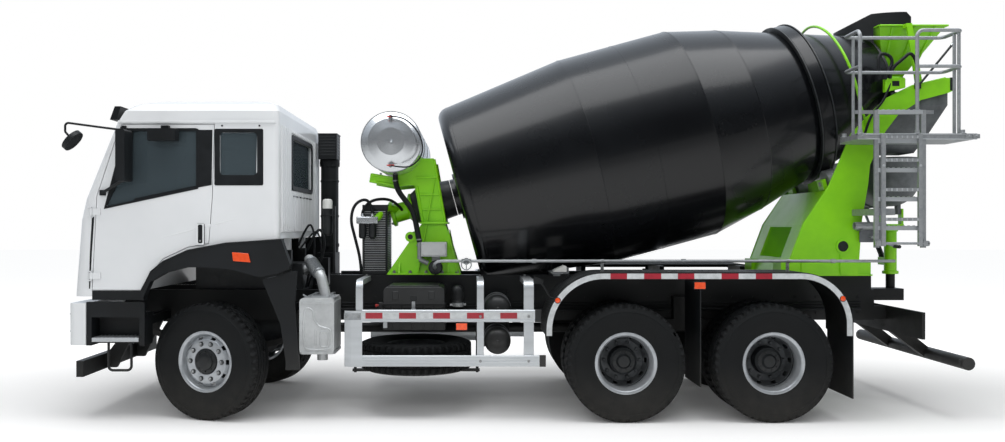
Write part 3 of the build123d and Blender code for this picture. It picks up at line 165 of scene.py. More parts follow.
def finish(name, colour, worn=None, patch=900, rough=0.5, rough_spread=0.1, metal=0.0, coat=0.0,
        grain=None, grain_depth=0.0, stretch=(1, 1, 1), specular=0.5, transmission=0.0, dust=None,
        dust_top=1.2, ior=None, coat_rough=0.05):
    """A surface with colour patches (patch mm), a fine grain (mm) in the bump and dust low down.

    The patches run between colour and worn, and the roughness follows them.
    """
    material = bpy.data.materials.new(name)
    material.use_nodes = True
    tree = material.node_tree
    tree.nodes.clear()
    place = add(tree, "ShaderNodeTexCoord")
    drawn = add(tree, "ShaderNodeMapping", {"Vector": place.outputs["Object"], "Scale": stretch})
    patches = add(tree, "ShaderNodeTexNoise",
        {"Vector": drawn.outputs[0], "Scale": 1000 / patch, "Detail": 4.0, "Roughness": 0.62})
    tint = add(tree, "ShaderNodeValToRGB", {"Fac": patches.outputs["Fac"]},
        stops=[(0.38, linear(colour)), (0.66, linear(worn or colour))])
    shade = tint.outputs["Color"]
    if dust:
        split = add(tree, "ShaderNodeSeparateXYZ", {"Vector": place.outputs["Object"]})
        low = add(tree, "ShaderNodeMapRange", {"Value": split.outputs["Z"], "From Min": 0.0,
            "From Max": dust_top, "To Min": 0.62, "To Max": 0.0})
        film = add(tree, "ShaderNodeTexNoise", {"Vector": place.outputs["Object"], "Scale": 9.0,
            "Detail": 6.0, "Roughness": 0.7})
        amount = add(tree, "ShaderNodeMath", {0: low.outputs[0], 1: film.outputs["Fac"]},
            operation="MULTIPLY")
        shade = add(tree, "ShaderNodeMixRGB", {"Fac": amount.outputs[0], "Color1": shade,
            "Color2": linear(dust)}).outputs["Color"]
    gloss = add(tree, "ShaderNodeMapRange", {"Value": patches.outputs["Fac"], "From Min": 0.3,
        "From Max": 0.7, "To Min": max(rough - rough_spread / 2, 0.02), "To Max": rough + rough_spread / 2})
    surface = add(tree, "ShaderNodeBsdfPrincipled",
        {"Base Color": shade, "Roughness": gloss.outputs[0], "Metallic": metal, "Coat Weight": coat,
        "Coat Roughness": coat_rough, "Specular IOR Level": specular, "Transmission Weight": transmission})
    if ior:
        surface.inputs["IOR"].default_value = ior
    if grain:
        bumps = add(tree, "ShaderNodeTexNoise", {"Vector": drawn.outputs[0], "Scale": 1000 / grain,
            "Detail": 3.0})
        relief = add(tree, "ShaderNodeBump", {"Height": bumps.outputs["Fac"], "Strength": 0.5,
            "Distance": grain_depth / 1000})
        tree.links.new(relief.outputs[0], surface.inputs["Normal"])
    add(tree, "ShaderNodeOutputMaterial", {"Surface": surface.outputs[0]})
    return material


# Baked white enamel: a clear gloss over a slightly cool white, with a faint orange peel.
white_enamel = finish("white_enamel", "#DCDEE0", "#D3D6D8", 1400, 0.32, 0.1, coat=0.35,
    grain=9, grain_depth=0.1, dust="#B9B6AE", dust_top=0.7)
# Two-pack gloss black on rolled plate: the plate's slow waves show in the sheen.
drum_enamel = finish("drum_enamel", "#060709", "#090B0E", 1100, 0.27, 0.08, coat=0.22,
    grain=240, grain_depth=1.6, specular=0.34, coat_rough=0.12)
# Lime green two-pack enamel on welded steelwork, sprayed, with a mild peel.
lime_enamel = finish("lime_enamel", "#88D410", "#7BC70E", 500, 0.42, 0.14, coat=0.2, grain=8,
    grain_depth=0.2)
# Chassis black: satin air-dried paint under a thin film of road dust.
chassis_enamel = finish("chassis_enamel", "#0C0E0F", "#141617", 260, 0.5, 0.2, grain=6,
    grain_depth=0.3, dust="#4A4742", specular=0.4)
# Moulded ABS with a leather-like grain, greyer where the weather has dulled it.
grained_abs = finish("grained_abs", "#0B0E10", "#121518", 500, 0.52, 0.12, grain=3.5,
    grain_depth=0.35, specular=0.38, dust="#55524C", dust_top=0.8)
# Toughened side glass, tinted green-grey.
tinted_glass = finish("tinted_glass", "#566369", "#5C696F", 900, 0.03, 0.01,
    transmission=0.55, ior=1.5, specular=0.6)
# Carbon-black tyre rubber, matt with a dry bloom and dust low down.
tyre_rubber = finish("tyre_rubber", "#090B0C", "#101213", 130, 0.74, 0.12, grain=5,
    grain_depth=0.5, dust="#45423D", dust_top=0.55, specular=0.3)
# Extruded black rubber and hose cover.
black_rubber = finish("black_rubber", "#0E1113", "#17191C", 200, 0.58, 0.14, grain=4,
    grain_depth=0.3, specular=0.35)
# Silver wheel lacquer over sandblasted steel.
wheel_lacquer = finish("wheel_lacquer", "#B7BBBF", "#9EA2A6", 160, 0.36, 0.16, metal=0.55,
    grain=2.5, grain_depth=0.12, dust="#6E6A62", dust_top=0.5)
# Mill-finish aluminium extrusion, drawn along its length.
drawn_aluminium = finish("drawn_aluminium", "#D0D4D7", "#B6BABD", 300, 0.38, 0.14,
    metal=0.65, stretch=(0.06, 1, 1), grain=2, grain_depth=0.08, dust="#8B877F", dust_top=0.6)
# Hot-dip galvanised tube with its soft spangle.
galvanised = finish("galvanised", "#A2A5A7", "#93979A", 45, 0.45, 0.14, metal=0.5, grain=12,
    grain_depth=0.12)
# Rolled stainless plate, polished.
polished_plate = finish("polished_plate", "#DADDE0", "#C6CACD", 700, 0.26, 0.08, metal=0.85,
    grain=60, grain_depth=0.15)
# Grey primer-like paint on the chutes, scuffed by aggregate.
scuffed_grey = finish("scuffed_grey", "#4C5053", "#6A6E70", 180, 0.55, 0.2, grain=7,
    grain_depth=0.5)
# Woven seat cloth.
seat_cloth = finish("seat_cloth", "#2A2C2F", "#34363A", 60, 0.9, 0.06, grain=3,
    grain_depth=0.5, specular=0.2)
# Painted iron castings of engine and drives, oily in the folds.
oily_casting = finish("oily_casting", "#17191B", "#26292B", 70, 0.45, 0.3, grain=9,
    grain_depth=0.9)
# Satin black paint on hub caps, with a dry edge where hands and tools have rubbed.
cap_black = finish("cap_black", "#0F1112", "#1B1E20", 60, 0.42, 0.2, grain=5,
    grain_depth=0.4)
# Silver wheel lacquer deep inside the twin wheels, darkened as painted shade, with road dust low down.
painted_shade_disc = finish("painted_shade_disc", "#54585B", "#3C3F42", 90, 0.5, 0.2, metal=0.4, grain=3,
    grain_depth=0.3, dust="#4A4640", dust_top=0.8)
# Zinc-plated steel nuts, bright with a fine mottle.
zinc_nut = finish("zinc_nut", "#AEB0B0", "#7F8182", 14, 0.38, 0.2, metal=0.8)
# Glossy black lacquer on the grille and small screws, almost a mirror.
gloss_black = finish("gloss_black", "#0E1113", "#15181B", 300, 0.16, 0.06, coat=0.3,
    specular=0.5)
# Amber polycarbonate lens, moulded, its prisms seen as a fine ripple.
amber_lens = finish("amber_lens", "#E8501A", "#D9450F", 40, 0.14, 0.05, coat=0.6, grain=4,
    grain_depth=0.4)
# The same lens in red.
red_lens = finish("red_lens", "#B3141C", "#9D0F17", 40, 0.14, 0.05, coat=0.6, grain=4,
    grain_depth=0.4)
# Clear lens over a silvered reflector.
clear_lens = finish("clear_lens", "#C9D2D6", "#B9C3C8", 30, 0.08, 0.03, coat=0.8, grain=6,
    grain_depth=0.6, metal=0.3)
# Extruded rubber of the windows' seals, satin and even.
window_rubber = finish("window_rubber", "#0F1214", "#181B1E", 90, 0.55, 0.12, grain=3,
    grain_depth=0.15, specular=0.3)
# Retroreflective tape, white, with the fine cells of its prisms.
tape_white = finish("tape_white", "#C2C6C8", "#ADB1B3", 60, 0.35, 0.12, grain=4,
    grain_depth=0.15, specular=0.6, dust="#8E8A82", dust_top=1.3)
# The same tape in red.
tape_red = finish("tape_red", "#A01229", "#8C1024", 60, 0.35, 0.12, grain=4,
    grain_depth=0.15, specular=0.6, dust="#7A6258", dust_top=1.3)
# Aluminised steel of the silencer, dull, stained by heat.
aluminised_steel = finish("aluminised_steel", "#CDD0D1", "#B4B7B8", 240, 0.48, 0.14,
    metal=0.55, grain=5, grain_depth=0.12, dust="#57534D")
# Wire braid of the exhaust's bellows.
wire_braid = finish("wire_braid", "#9DA1A4", "#74787B", 8, 0.42, 0.2, metal=0.7, grain=3,
    grain_depth=0.6)
# Machine grey of valves and pumps.
machine_grey = finish("machine_grey", "#6C7073", "#5A5E61", 120, 0.5, 0.14, grain=5,
    grain_depth=0.25)
# Pale grey enamel of the valve box.
pale_grey = finish("pale_grey", "#B4B7B7", "#A4A7A7", 160, 0.42, 0.12, grain=5,
    grain_depth=0.15)
# Signal red of the main switch and the taps.
signal_red = finish("signal_red", "#B4261F", "#9B1F1B", 80, 0.42, 0.12, coat=0.2, grain=6,
    grain_depth=0.15)
# White moulded plastic of the wheel chock and the filter.
white_plastic = finish("white_plastic", "#D8D9D6", "#C6C7C3", 200, 0.45, 0.1, grain=5,
    grain_depth=0.15)
# Satin black moulded polypropylene of covers, housings and caps.
black_moulding = finish("black_moulding", "#131618", "#1D2022", 300, 0.44, 0.12, grain=5,
    grain_depth=0.3, dust="#4F4B46", dust_top=1.5)

slot_finish = {"cab_paint": white_enamel, "drum_paint": drum_enamel, "green_paint": lime_enamel,
    "chassis_paint": chassis_enamel, "dark_plastic": grained_abs, "window_glass": tinted_glass,
    "tyre_rubber": tyre_rubber, "black_rubber": black_rubber, "rim_paint": wheel_lacquer,
    "tread_alloy": drawn_aluminium, "galvanised": galvanised, "grey_paint": scuffed_grey,
    "seat_fabric": seat_cloth, "cast_housing": oily_casting}
node_finish = {"water_tank": polished_plate, "front_bumper": white_enamel, "water_lines": galvanised,
    "silencer": aluminised_steel}
for entry in frame["record"]["subparts"]:
    node = frame["nodes"][entry["node"]]
    material = node_finish.get(entry["node"], slot_finish[entry["material_slot"]])
    if node.data.materials:
        for index in range(len(node.data.materials)):
            node.data.materials[index] = material
    else:
        node.data.materials.append(material)

# ---------------------------------------------------------------- making pieces


def as_piece(name, shape, material, body="chassis", flat=False, thickness=None, bevel=None,
        inward=True, replaced=()):
    """Makes a bmesh into a piece on a body, in the given material."""
    bmesh.ops.remove_doubles(shape, verts=shape.verts, dist=0.00005)
    bmesh.ops.recalc_face_normals(shape, faces=shape.faces)
    mesh = bpy.data.meshes.new(name)
    shape.to_mesh(mesh)
    shape.free()
    for face in mesh.polygons:
        face.use_smooth = not flat
    piece = bpy.data.objects.new(name, mesh)
    scene.collection.objects.link(piece)
    mesh.materials.append(material)
    if thickness:
        wall = piece.modifiers.new("wall", "SOLIDIFY")
        wall.thickness = thickness
        wall.offset = -1 if inward else 1
    if bevel:
        round_off = piece.modifiers.new("edges", "BEVEL")
        round_off.width = bevel
        round_off.segments = 2
        round_off.limit_method = "ANGLE"
    if not flat:
        mesh.set_sharp_from_angle(angle=math.radians(35))
    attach(piece, body)
    if replaced:
        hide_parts(*replaced)
    return piece


def spun(shape, outline, steps, closed=False, turn=None):
    """Spins an outline of (radius, height) about Z, then moves it by turn."""
    start = [shape.verts.new((radius, 0, height)) for radius, height in outline]
    pairs = list(zip(start, start[1:])) + ([(start[-1], start[0])] if closed else [])
    line = [shape.edges.new(pair) for pair in pairs]
    before = set(shape.verts) - set(start)
    bmesh.ops.spin(shape, geom=start + line, cent=(0, 0, 0), axis=(0, 0, 1), angle=2 * math.pi, steps=steps,
        use_merge=True)
    made = [v for v in shape.verts if v not in before]
    bmesh.ops.remove_doubles(shape, verts=made, dist=0.00001)
    made = [v for v in shape.verts if v not in before]
    if turn:
        bmesh.ops.transform(shape, matrix=turn, verts=made)
    return made


def block(shape, one, other):
    """Box between two opposite corners (ahead of the mark, y, z)."""
    low, high = zip(*(sorted(pair) for pair in zip((at(one[0]), *one[1:]), (at(other[0]), *other[1:]))))
    middle = (Vector(low) + Vector(high)) / 2
    size = [b - a for a, b in zip(low, high)]
    bmesh.ops.create_cube(shape, size=1, matrix=Matrix.Translation(middle) @ Matrix.Diagonal((*size, 1)))


def along_line(start, end):
    """Matrix that puts local Z along a line, with the origin at its start."""
    way = Vector(end) - Vector(start)
    return Matrix.Translation(start) @ way.to_track_quat("Z", "Y").to_matrix().to_4x4()


def bar(shape, start, end, radius, sides=16, tip=None):
    """Round bar or cone between two points."""
    length = (Vector(end) - Vector(start)).length
    matrix = along_line(start, end) @ Matrix.Translation((0, 0, length / 2))
    made = bmesh.ops.create_cone(shape, cap_ends=True, segments=sides, radius1=radius,
        radius2=radius if tip is None else tip, depth=length, matrix=matrix)
    return made["verts"]


def prism(shape, outline, way, turn=None):
    """Flat outline of 3D points, extruded by a vector."""
    corners = [shape.verts.new(point) for point in outline]
    face = shape.faces.new(corners)
    made = bmesh.ops.extrude_face_region(shape, geom=[face])
    moved = [g for g in made["geom"] if isinstance(g, bmesh.types.BMVert)]
    bmesh.ops.translate(shape, vec=way, verts=moved)
    if turn:
        bmesh.ops.transform(shape, matrix=turn, verts=corners + moved)
    return corners + moved


def hose(name, points, radius, material, sides=6):
    """Round tube on the chassis that follows points (ahead of the mark, y, z) on one smooth curve."""
    curve = bpy.data.curves.new(name, "CURVE")
    curve.dimensions = "3D"
    curve.bevel_depth = radius
    curve.bevel_resolution = sides
    curve.use_fill_caps = True
    curve.resolution_u = 8
    spline = curve.splines.new("NURBS")
    spline.points.add(len(points) - 1)
    for knot, point in zip(spline.points, points):
        knot.co = (at(point[0]), *point[1:], 1)
    spline.order_u = 3
    spline.use_endpoint_u = True
    raw = bpy.data.objects.new(name + "_line", curve)
    scene.collection.objects.link(raw)
    mesh = bpy.data.meshes.new_from_object(raw)
    bpy.data.objects.remove(raw)
    bpy.data.curves.remove(curve)
    shape = bmesh.new()
    shape.from_mesh(mesh)
    bpy.data.meshes.remove(mesh)
    as_piece(name, shape, material)


# ---------------------------------------------------------------- wheels
wheel_steer = math.radians(18)
axle_height = 0.5425
front_axle_x = 2.8825
rear_axle_x = (-0.9175, -2.2675)
nut_circle = 0.1675
nut_count = 10
hand_holes = 10
tread_steps = 144


def wheel_place(centre, outward):
    """Matrix with local Z along the axle, outward, and local X up."""
    z = Vector(outward)
    x = Vector((0, 0, 1))
    matrix = Matrix((x, z.cross(x), z)).transposed().to_4x4()
    return Matrix.Translation(centre) @ matrix


half_carcass = ((0.262, 0.098), (0.27, 0.104), (0.286, 0.1085), (0.3, 0.113), (0.318, 0.1225),
    (0.338, 0.132), (0.365, 0.1395), (0.395, 0.1445), (0.425, 0.1462), (0.452, 0.144), (0.468, 0.1405),
    (0.471, 0.1428), (0.481, 0.1418), (0.484, 0.1385), (0.5, 0.134), (0.515, 0.129), (0.53, 0.122),
    (0.5385, 0.1165), (0.5415, 0.108), (0.5423, 0.09), (0.5425, 0.0725), (0.5285, 0.0705), (0.5285, 0.0635),
    (0.5425, 0.0615), (0.5425, 0.044), (0.5425, 0.027), (0.5285, 0.025), (0.5285, 0.018), (0.5425, 0.016),)


def tyre_shape(shape, place, shift=0.0):
    """Tyre with shoulder lugs and cut ribs, moved along its axle by shift."""
    outline = [(r, -x) for r, x in half_carcass] + [(r, x) for r, x in reversed(half_carcass)]
    before = set(shape.faces)
    made = spun(shape, outline, tread_steps)
    faces = [f for f in shape.faces if f not in before]
    lug_gaps = []
    rib_cuts = []
    for face in faces:
        middle = face.calc_center_median()
        radius = math.hypot(middle.x, middle.y)
        across = abs(middle.z)
        step = int((math.atan2(middle.y, middle.x) / (2 * math.pi) % 1) * tread_steps)
        if radius > 0.513 and across > 0.0735 and step % 3 == 0:
            lug_gaps.append(face)
        elif radius > 0.54 and 0.044 < across < 0.061 and step % 3 == 1:
            rib_cuts.append(face)
        elif radius > 0.54 and 0.028 < across < 0.043 and step % 3 == 2:
            rib_cuts.append(face)
    for group, share in ((lug_gaps, 0.974), (rib_cuts, 0.985)):
        sunk = bmesh.ops.extrude_face_region(shape, geom=group)
        moved = [g for g in sunk["geom"] if isinstance(g, bmesh.types.BMVert)]
        bmesh.ops.scale(shape, vec=(share, share, 1), verts=moved)
        made += moved
    bmesh.ops.transform(shape, matrix=place @ Matrix.Translation((0, 0, shift)),
        verts=[v for v in made if v.is_valid])


barrel = ((0.2805, 0.1115), (0.285, 0.109), (0.2845, 0.104), (0.27, 0.1025), (0.2625, 0.099),
    (0.2575, 0.092), (0.254, 0.07), (0.244, 0.052), (0.24, 0.02), (0.24, -0.03), (0.25, -0.07),
    (0.258, -0.092), (0.264, -0.101), (0.284, -0.103), (0.2855, -0.108),)
front_disc = ((0.24, 0.044), (0.238, 0.054), (0.231, 0.061), (0.21, 0.081), (0.204, 0.0865),
    (0.196, 0.0885), (0.124, 0.0885), (0.118, 0.084))
rear_disc = ((0.24, -0.074), (0.238, -0.086), (0.231, -0.096), (0.212, -0.14), (0.206, -0.15),
    (0.198, -0.158), (0.136, -0.158), (0.131, -0.162))


def holed_disc(shape, outline, place, row):
    """Wheel disc with its ring of hand holes, cut in the given row of the outline."""
    before = set(shape.faces)
    steps = hand_holes * 12
    made = spun(shape, outline, steps)
    inner, outer = sorted((outline[row][0], outline[row + 1][0]))
    holes = []
    for face in shape.faces:
        if face in before:
            continue
        middle = face.calc_center_median()
        step = int((math.atan2(middle.y, middle.x) / (2 * math.pi) % 1) * steps)
        if inner < math.hypot(middle.x, middle.y) < outer and step % 12 in (4, 5, 6, 7):
            holes.append(face)
    bmesh.ops.delete(shape, geom=holes, context="FACES")
    bmesh.ops.transform(shape, matrix=place, verts=[v for v in made if v.is_valid])


def nut_ring(shape, washers, place, seat, height):
    """Wheel nuts with their captive washers and the stud ends."""
    for index in range(nut_count):
        angle = 2 * math.pi * (index + 0.5) / nut_count
        x, y = nut_circle * math.cos(angle), nut_circle * math.sin(angle)
        foot, top = place @ Vector((x, y, seat)), place @ Vector((x, y, seat + height))
        way = (top - foot).normalized()
        bar(washers, foot, foot + way * 0.006, 0.0225, 20)
        bar(shape, foot + way * 0.006, foot + way * (height - 0.01), 0.017, 6)
        bar(shape, foot + way * (height - 0.01), top, 0.0165, 12, 0.01)


for side, word in ((1, "left"), (-1, "right")):
    outward = Vector((side * math.sin(wheel_steer), side * math.cos(wheel_steer), 0))
    centre = Vector((front_axle_x, side * 0.86, axle_height)) + outward * 0.15
    place = wheel_place(centre, outward)
    body = f"front_{word}_wheel"

    tyre = bmesh.new()
    tyre_shape(tyre, place)
    as_piece(f"front_tyre_{word}", tyre, tyre_rubber, body, replaced=[f"tyre_front_{word}"])

    rim = bmesh.new()
    bmesh.ops.transform(rim, matrix=place, verts=spun(rim, barrel, 96))
    holed_disc(rim, front_disc, place, 2)
    as_piece(f"front_rim_{word}", rim, wheel_lacquer, body, thickness=0.007, replaced=[f"rim_front_{word}"])

    nuts, washers = bmesh.new(), bmesh.new()
    nut_ring(nuts, washers, place, 0.0885, 0.0275)
    as_piece(f"front_nuts_{word}", nuts, zinc_nut, body)
    as_piece(f"front_washers_{word}", washers, cap_black, body)

    hub = bmesh.new()
    spun(hub, ((0.195, -0.07), (0.195, -0.056), (0.124, -0.056), (0.124, 0.07), (0.117, 0.09),
        (0.112, 0.098), (0.1, 0.103), (0.082, 0.104), (0.078, 0.114), (0.07, 0.1185), (0.03, 0.1195),
        (0.0, 0.1195)), 64, turn=place)
    for index in range(8):
        angle = 2 * math.pi * index / 8
        foot = place @ Vector((0.092 * math.cos(angle), 0.092 * math.sin(angle), 0.102))
        bar(hub, foot, foot + outward * 0.01, 0.007, 6)
    as_piece(f"front_hub_{word}", hub, cap_black, body)

    for number, axle in enumerate(rear_axle_x, 1):
        body = f"rear_{number}_{word}_wheels"
        away = Vector((0, side, 0))
        hub_place = wheel_place(Vector((axle, side * 0.93, axle_height)), away)
        tyres = bmesh.new()
        tyre_shape(tyres, hub_place, 0.175)
        tyre_shape(tyres, hub_place, -0.175)
        as_piece(f"rear_tyres_{number}_{word}", tyres, tyre_rubber, body,
            replaced=[f"tyres_rear_{number}_{word}"])
        rims = bmesh.new()
        for shift, flip in ((0.175, 1), (-0.175, -1)):
            turn = hub_place @ Matrix.Translation((0, 0, shift)) @ Matrix.Diagonal((1, 1, flip, 1))
            bmesh.ops.transform(rims, matrix=turn, verts=spun(rims, barrel, 96))
        as_piece(f"rear_rims_{number}_{word}", rims, wheel_lacquer, body, thickness=0.007,
            replaced=[f"rims_rear_{number}_{word}"])
        discs = bmesh.new()
        for shift, flip in ((0.175, 1), (-0.175, -1)):
            turn = hub_place @ Matrix.Translation((0, 0, shift)) @ Matrix.Diagonal((1, 1, flip, 1))
            holed_disc(discs, rear_disc, turn, 2)
        # The discs deep in the twin wheels are painted darker, as painted shade.
        as_piece(f"rear_discs_{number}_{word}", discs, painted_shade_disc, body, thickness=0.007)
        nuts, washers = bmesh.new(), bmesh.new()
        nut_ring(nuts, washers, hub_place, 0.017, 0.029)
        # The nuts deep in the hubs carry the same painted shade.
        as_piece(f"rear_nuts_{number}_{word}", nuts, painted_shade_disc, body)
        as_piece(f"rear_washers_{number}_{word}", washers, cap_black, body)
        hub = bmesh.new()
        spun(hub, ((0.205, -0.25), (0.205, -0.236), (0.13, -0.236), (0.13, 0.018), (0.128, 0.12),
            (0.124, 0.132), (0.11, 0.14), (0.104, 0.146), (0.07, 0.15), (0.06, 0.16), (0.052, 0.168),
            (0.0, 0.17)), 64, turn=hub_place)
        for index in range(10):
            angle = 2 * math.pi * (index + 0.5) / 10
            foot = hub_place @ Vector((0.09 * math.cos(angle), 0.09 * math.sin(angle), 0.146))
            bar(hub, foot, foot + away * 0.012, 0.008, 6)
        as_piece(f"rear_hub_{number}_{word}", hub, cap_black, body)

spare = bmesh.new()
spare_place = Matrix.Translation((at(-1.87), 0.56, 0.541))
tyre_shape(spare, spare_place)
as_piece("spare_tyre", spare, tyre_rubber, replaced=["spare_wheel"])
spare_rim = bmesh.new()
bmesh.ops.transform(spare_rim, matrix=spare_place, verts=spun(spare_rim, barrel, 72))
holed_disc(spare_rim, tuple((r, z + 0.02) for r, z in rear_disc), spare_place, 2)
# The spare's rim, under the frame, carries the same painted shade.
as_piece("spare_rim", spare_rim, painted_shade_disc, thickness=0.007)

# ---------------------------------------------------------------- cab
cab_side = 1.15
cab_sections = ((1.15, 1.255), (1.855, 1.2), (2.05, 1.155), (2.753, 0.855))
bow = 0.05


def front_x(y, z):
    """The cab's bowed front at that height."""
    for (low, first), (high, second) in zip(cab_sections, cab_sections[1:]):
        if z <= high:
            break
    share = (z - low) / (high - low)
    return at(first + (second - first) * share + bow * (1 - (y / cab_side) ** 2))


def front_panel(shape, y, z, proud, steps=24, rows=6):
    """Sheet that follows the cab's front, so far proud of it."""
    made = bmesh.ops.create_grid(shape, x_segments=steps, y_segments=rows, size=0.5)["verts"]
    for vert in made:
        across, up = vert.co.x + 0.5, vert.co.y + 0.5
        place_y, place_z = y[0] + (y[1] - y[0]) * across, z[0] + (z[1] - z[0]) * up
        vert.co = (front_x(place_y, place_z) + proud, place_y, place_z)
    return made


def side_sheet(shape, outline, y, depth, side=1):
    """Plate on a side of the truck, from outline points (ahead of the mark, height)."""
    prism(shape, [(at(x), side * y, z) for x, z in outline], (0, side * depth, 0))


def side_frame(shape, outer, inner, y, depth, side=1):
    """Flat ring between two outlines with as many points each."""
    rings = []
    for outline in (outer, inner):
        corners = [shape.verts.new((at(x), side * y, z)) for x, z in outline]
        rings.append([shape.edges.new(pair) for pair in zip(corners, corners[1:] + corners[:1])])
    faces = bmesh.ops.bridge_loops(shape, edges=rings[0] + rings[1])["faces"]
    made = bmesh.ops.extrude_face_region(shape, geom=faces)
    bmesh.ops.translate(shape, vec=(0, side * depth, 0),
        verts=[g for g in made["geom"] if isinstance(g, bmesh.types.BMVert)])


def rounded(low_x, high_x, low_z, high_z, radius, steps=4):
    """Rectangle with rounded corners as outline points."""
    points = []
    for x, z, first in ((high_x - radius, high_z - radius, 0), (low_x + radius, high_z - radius, 90),
            (low_x + radius, low_z + radius, 180), (high_x - radius, low_z + radius, 270)):
        for step in range(steps + 1):
            angle = math.radians(first + 90 * step / steps)
            points.append((x + radius * math.cos(angle), z + radius * math.sin(angle)))
    return points


for side, word in ((1, "left"), (-1, "right")):
    door = f"{word}_door"
    trim = bmesh.new()
    # Sail panel ahead of the glass and the black pillar behind it.
    side_sheet(trim, [(0.955, 1.972), (0.926, 2.062), (0.764, 2.684), (0.702, 2.684), (0.742, 2.215),
        (0.842, 2.195)], cab_side - 0.0175, 0.0195, side)
    side_sheet(trim, [(0.117, 2.15), (0.117, 2.684), (-0.03, 2.684), (-0.022, 2.176)], cab_side + 0.0002,
        0.0035, side)
    side_sheet(trim, [(0.77, 2.678), (0.117, 2.678), (0.117, 2.7), (0.776, 2.7)], cab_side + 0.0002, 0.0035,
        side)
    as_piece(f"door_trim_{word}", trim, window_rubber, door, flat=True, bevel=0.0012)
    seal = bmesh.new()
    side_frame(seal, [(0.97, 1.955), (0.94, 2.066), (0.778, 2.694), (0.1, 2.694), (0.1, 2.141)],
        [(0.944, 1.981), (0.914, 2.062), (0.756, 2.672), (0.121, 2.672), (0.121, 2.163)], cab_side + 0.0002,
        0.006, side)
    as_piece(f"door_seal_{word}", seal, window_rubber, door, bevel=0.002)
    sweep_seal = bmesh.new()
    side_sheet(sweep_seal, [(0.7, 2.04), (0.69, 2.052), (0.13, 2.17), (0.13, 2.156)], cab_side - 0.012,
        0.006, side)
    as_piece(f"glass_wiper_{word}", sweep_seal, window_rubber, door, flat=True)
    # Pressed crease that runs over the door on to the cab.
    for name, first, last, body in (("door", (0.545, 1.664), (-0.018, 1.812), door),
            ("cab", (-0.052, 1.821), (-0.3, 1.88), "cab")):
        crease = bmesh.new()
        (x1, z1), (x2, z2) = first, last
        thin = 0.0002 if name == "door" else 0.006
        far = 0.006 if name == "door" else 0.0002
        corners = [crease.verts.new((at(x), side * (cab_side + 0.0001), z))
            for x, z in ((x1, z1 + thin), (x2, z2 + far), (x2, z2 - 3 * far), (x1, z1 - 3 * thin))]
        ridge = [crease.verts.new((at(x), side * (cab_side + lift), z))
            for x, z, lift in ((x1, z1, 0.0002 if name == "door" else 0.0055),
            (x2, z2, 0.0055 if name == "door" else 0.0002))]
        for loop in ((corners[0], corners[1], ridge[1], ridge[0]),
                (corners[3], corners[2], ridge[1], ridge[0]), (corners[0], corners[3], ridge[0]),
                (corners[1], corners[2], ridge[1]), corners):
            crease.faces.new(loop)
        as_piece(f"{name}_crease_{word}", crease, white_enamel, body, flat=True)
    # Upright door handle with its lock.
    handle = bmesh.new()
    side_sheet(handle, rounded(0.041, 0.119, 1.628, 1.822, 0.012), cab_side + 0.0002, 0.006, side)
    side_sheet(handle, rounded(0.056, 0.098, 1.64, 1.812, 0.014), cab_side + 0.006, 0.021, side)
    as_piece(f"door_handle_{word}", handle, grained_abs, door, bevel=0.004)
    lock = bmesh.new()
    bar(lock, (at(0.078), side * (cab_side + 0.02), 1.662), (at(0.078), side * (cab_side + 0.029), 1.662),
        0.01, 20)
    as_piece(f"door_lock_{word}", lock, zinc_nut, door)
    # Quarter window's black surround, the dark strip at the front corner, gutter and lamp.
    surround = bmesh.new()
    side_frame(surround, rounded(-0.497, -0.047, 2.172, 2.694, 0.016),
        rounded(-0.44, -0.099, 2.268, 2.658, 0.035), cab_side + 0.0002, 0.004, side)
    as_piece(f"quarter_surround_{word}", surround, window_rubber, "cab", bevel=0.0015)
    strip = bmesh.new()
    side_sheet(strip, [(1.1075, 1.222), (1.0965, 1.222), (1.08, 1.56), (1.058, 1.888), (1.08, 1.872),
        (1.0985, 1.56)], cab_side + 0.0002, 0.002, side)
    as_piece(f"corner_strip_{word}", strip, window_rubber, "cab", flat=True)
    gutter = bmesh.new()
    side_sheet(gutter, [(0.84, 2.747), (0.835, 2.759), (-0.612, 2.759), (-0.612, 2.747)], cab_side - 0.0005,
        0.0165, side)
    side_sheet(gutter, [(0.842, 2.756), (0.834, 2.77), (-0.612, 2.77), (-0.612, 2.756)], cab_side + 0.01,
        0.006, side)
    as_piece(f"gutter_{word}", gutter, white_enamel, "cab", flat=True, bevel=0.002)
    lamp = bmesh.new()
    side_sheet(lamp, [(-0.222, 1.56), (-0.232, 1.478), (-0.392, 1.466), (-0.372, 1.548)], 1.1952, 0.011,
        side)
    as_piece(f"flare_lamp_{word}", lamp, amber_lens, "cab", bevel=0.004)
    flare_lip = bmesh.new()
    arch = [(0.619, 1.205), (0.529, 1.38), (0.409, 1.478), (0.189, 1.582), (-0.17, 1.646), (-0.669, 1.679)]
    for (x1, z1), (x2, z2) in zip(arch, arch[1:]):
        prism(flare_lip, [(at(x1), side * 1.15, z1), (at(x2), side * 1.15, z2),
            (at(x2), side * 1.15, z2 - 0.014), (at(x1) - 0.01, side * 1.15, z1 - 0.014)],
            (0, side * 0.05, 0))
    as_piece(f"flare_lip_{word}", flare_lip, grained_abs, "cab", flat=True, bevel=0.003)
    # Two screws.
    screws = bmesh.new()
    for x in (-0.118, -0.462):
        bar(screws, (at(x), side * 1.149, 2.722), (at(x), side * 1.1545, 2.722), 0.009, 12)
    as_piece(f"frame_screws_{word}", screws, gloss_black, "cab")

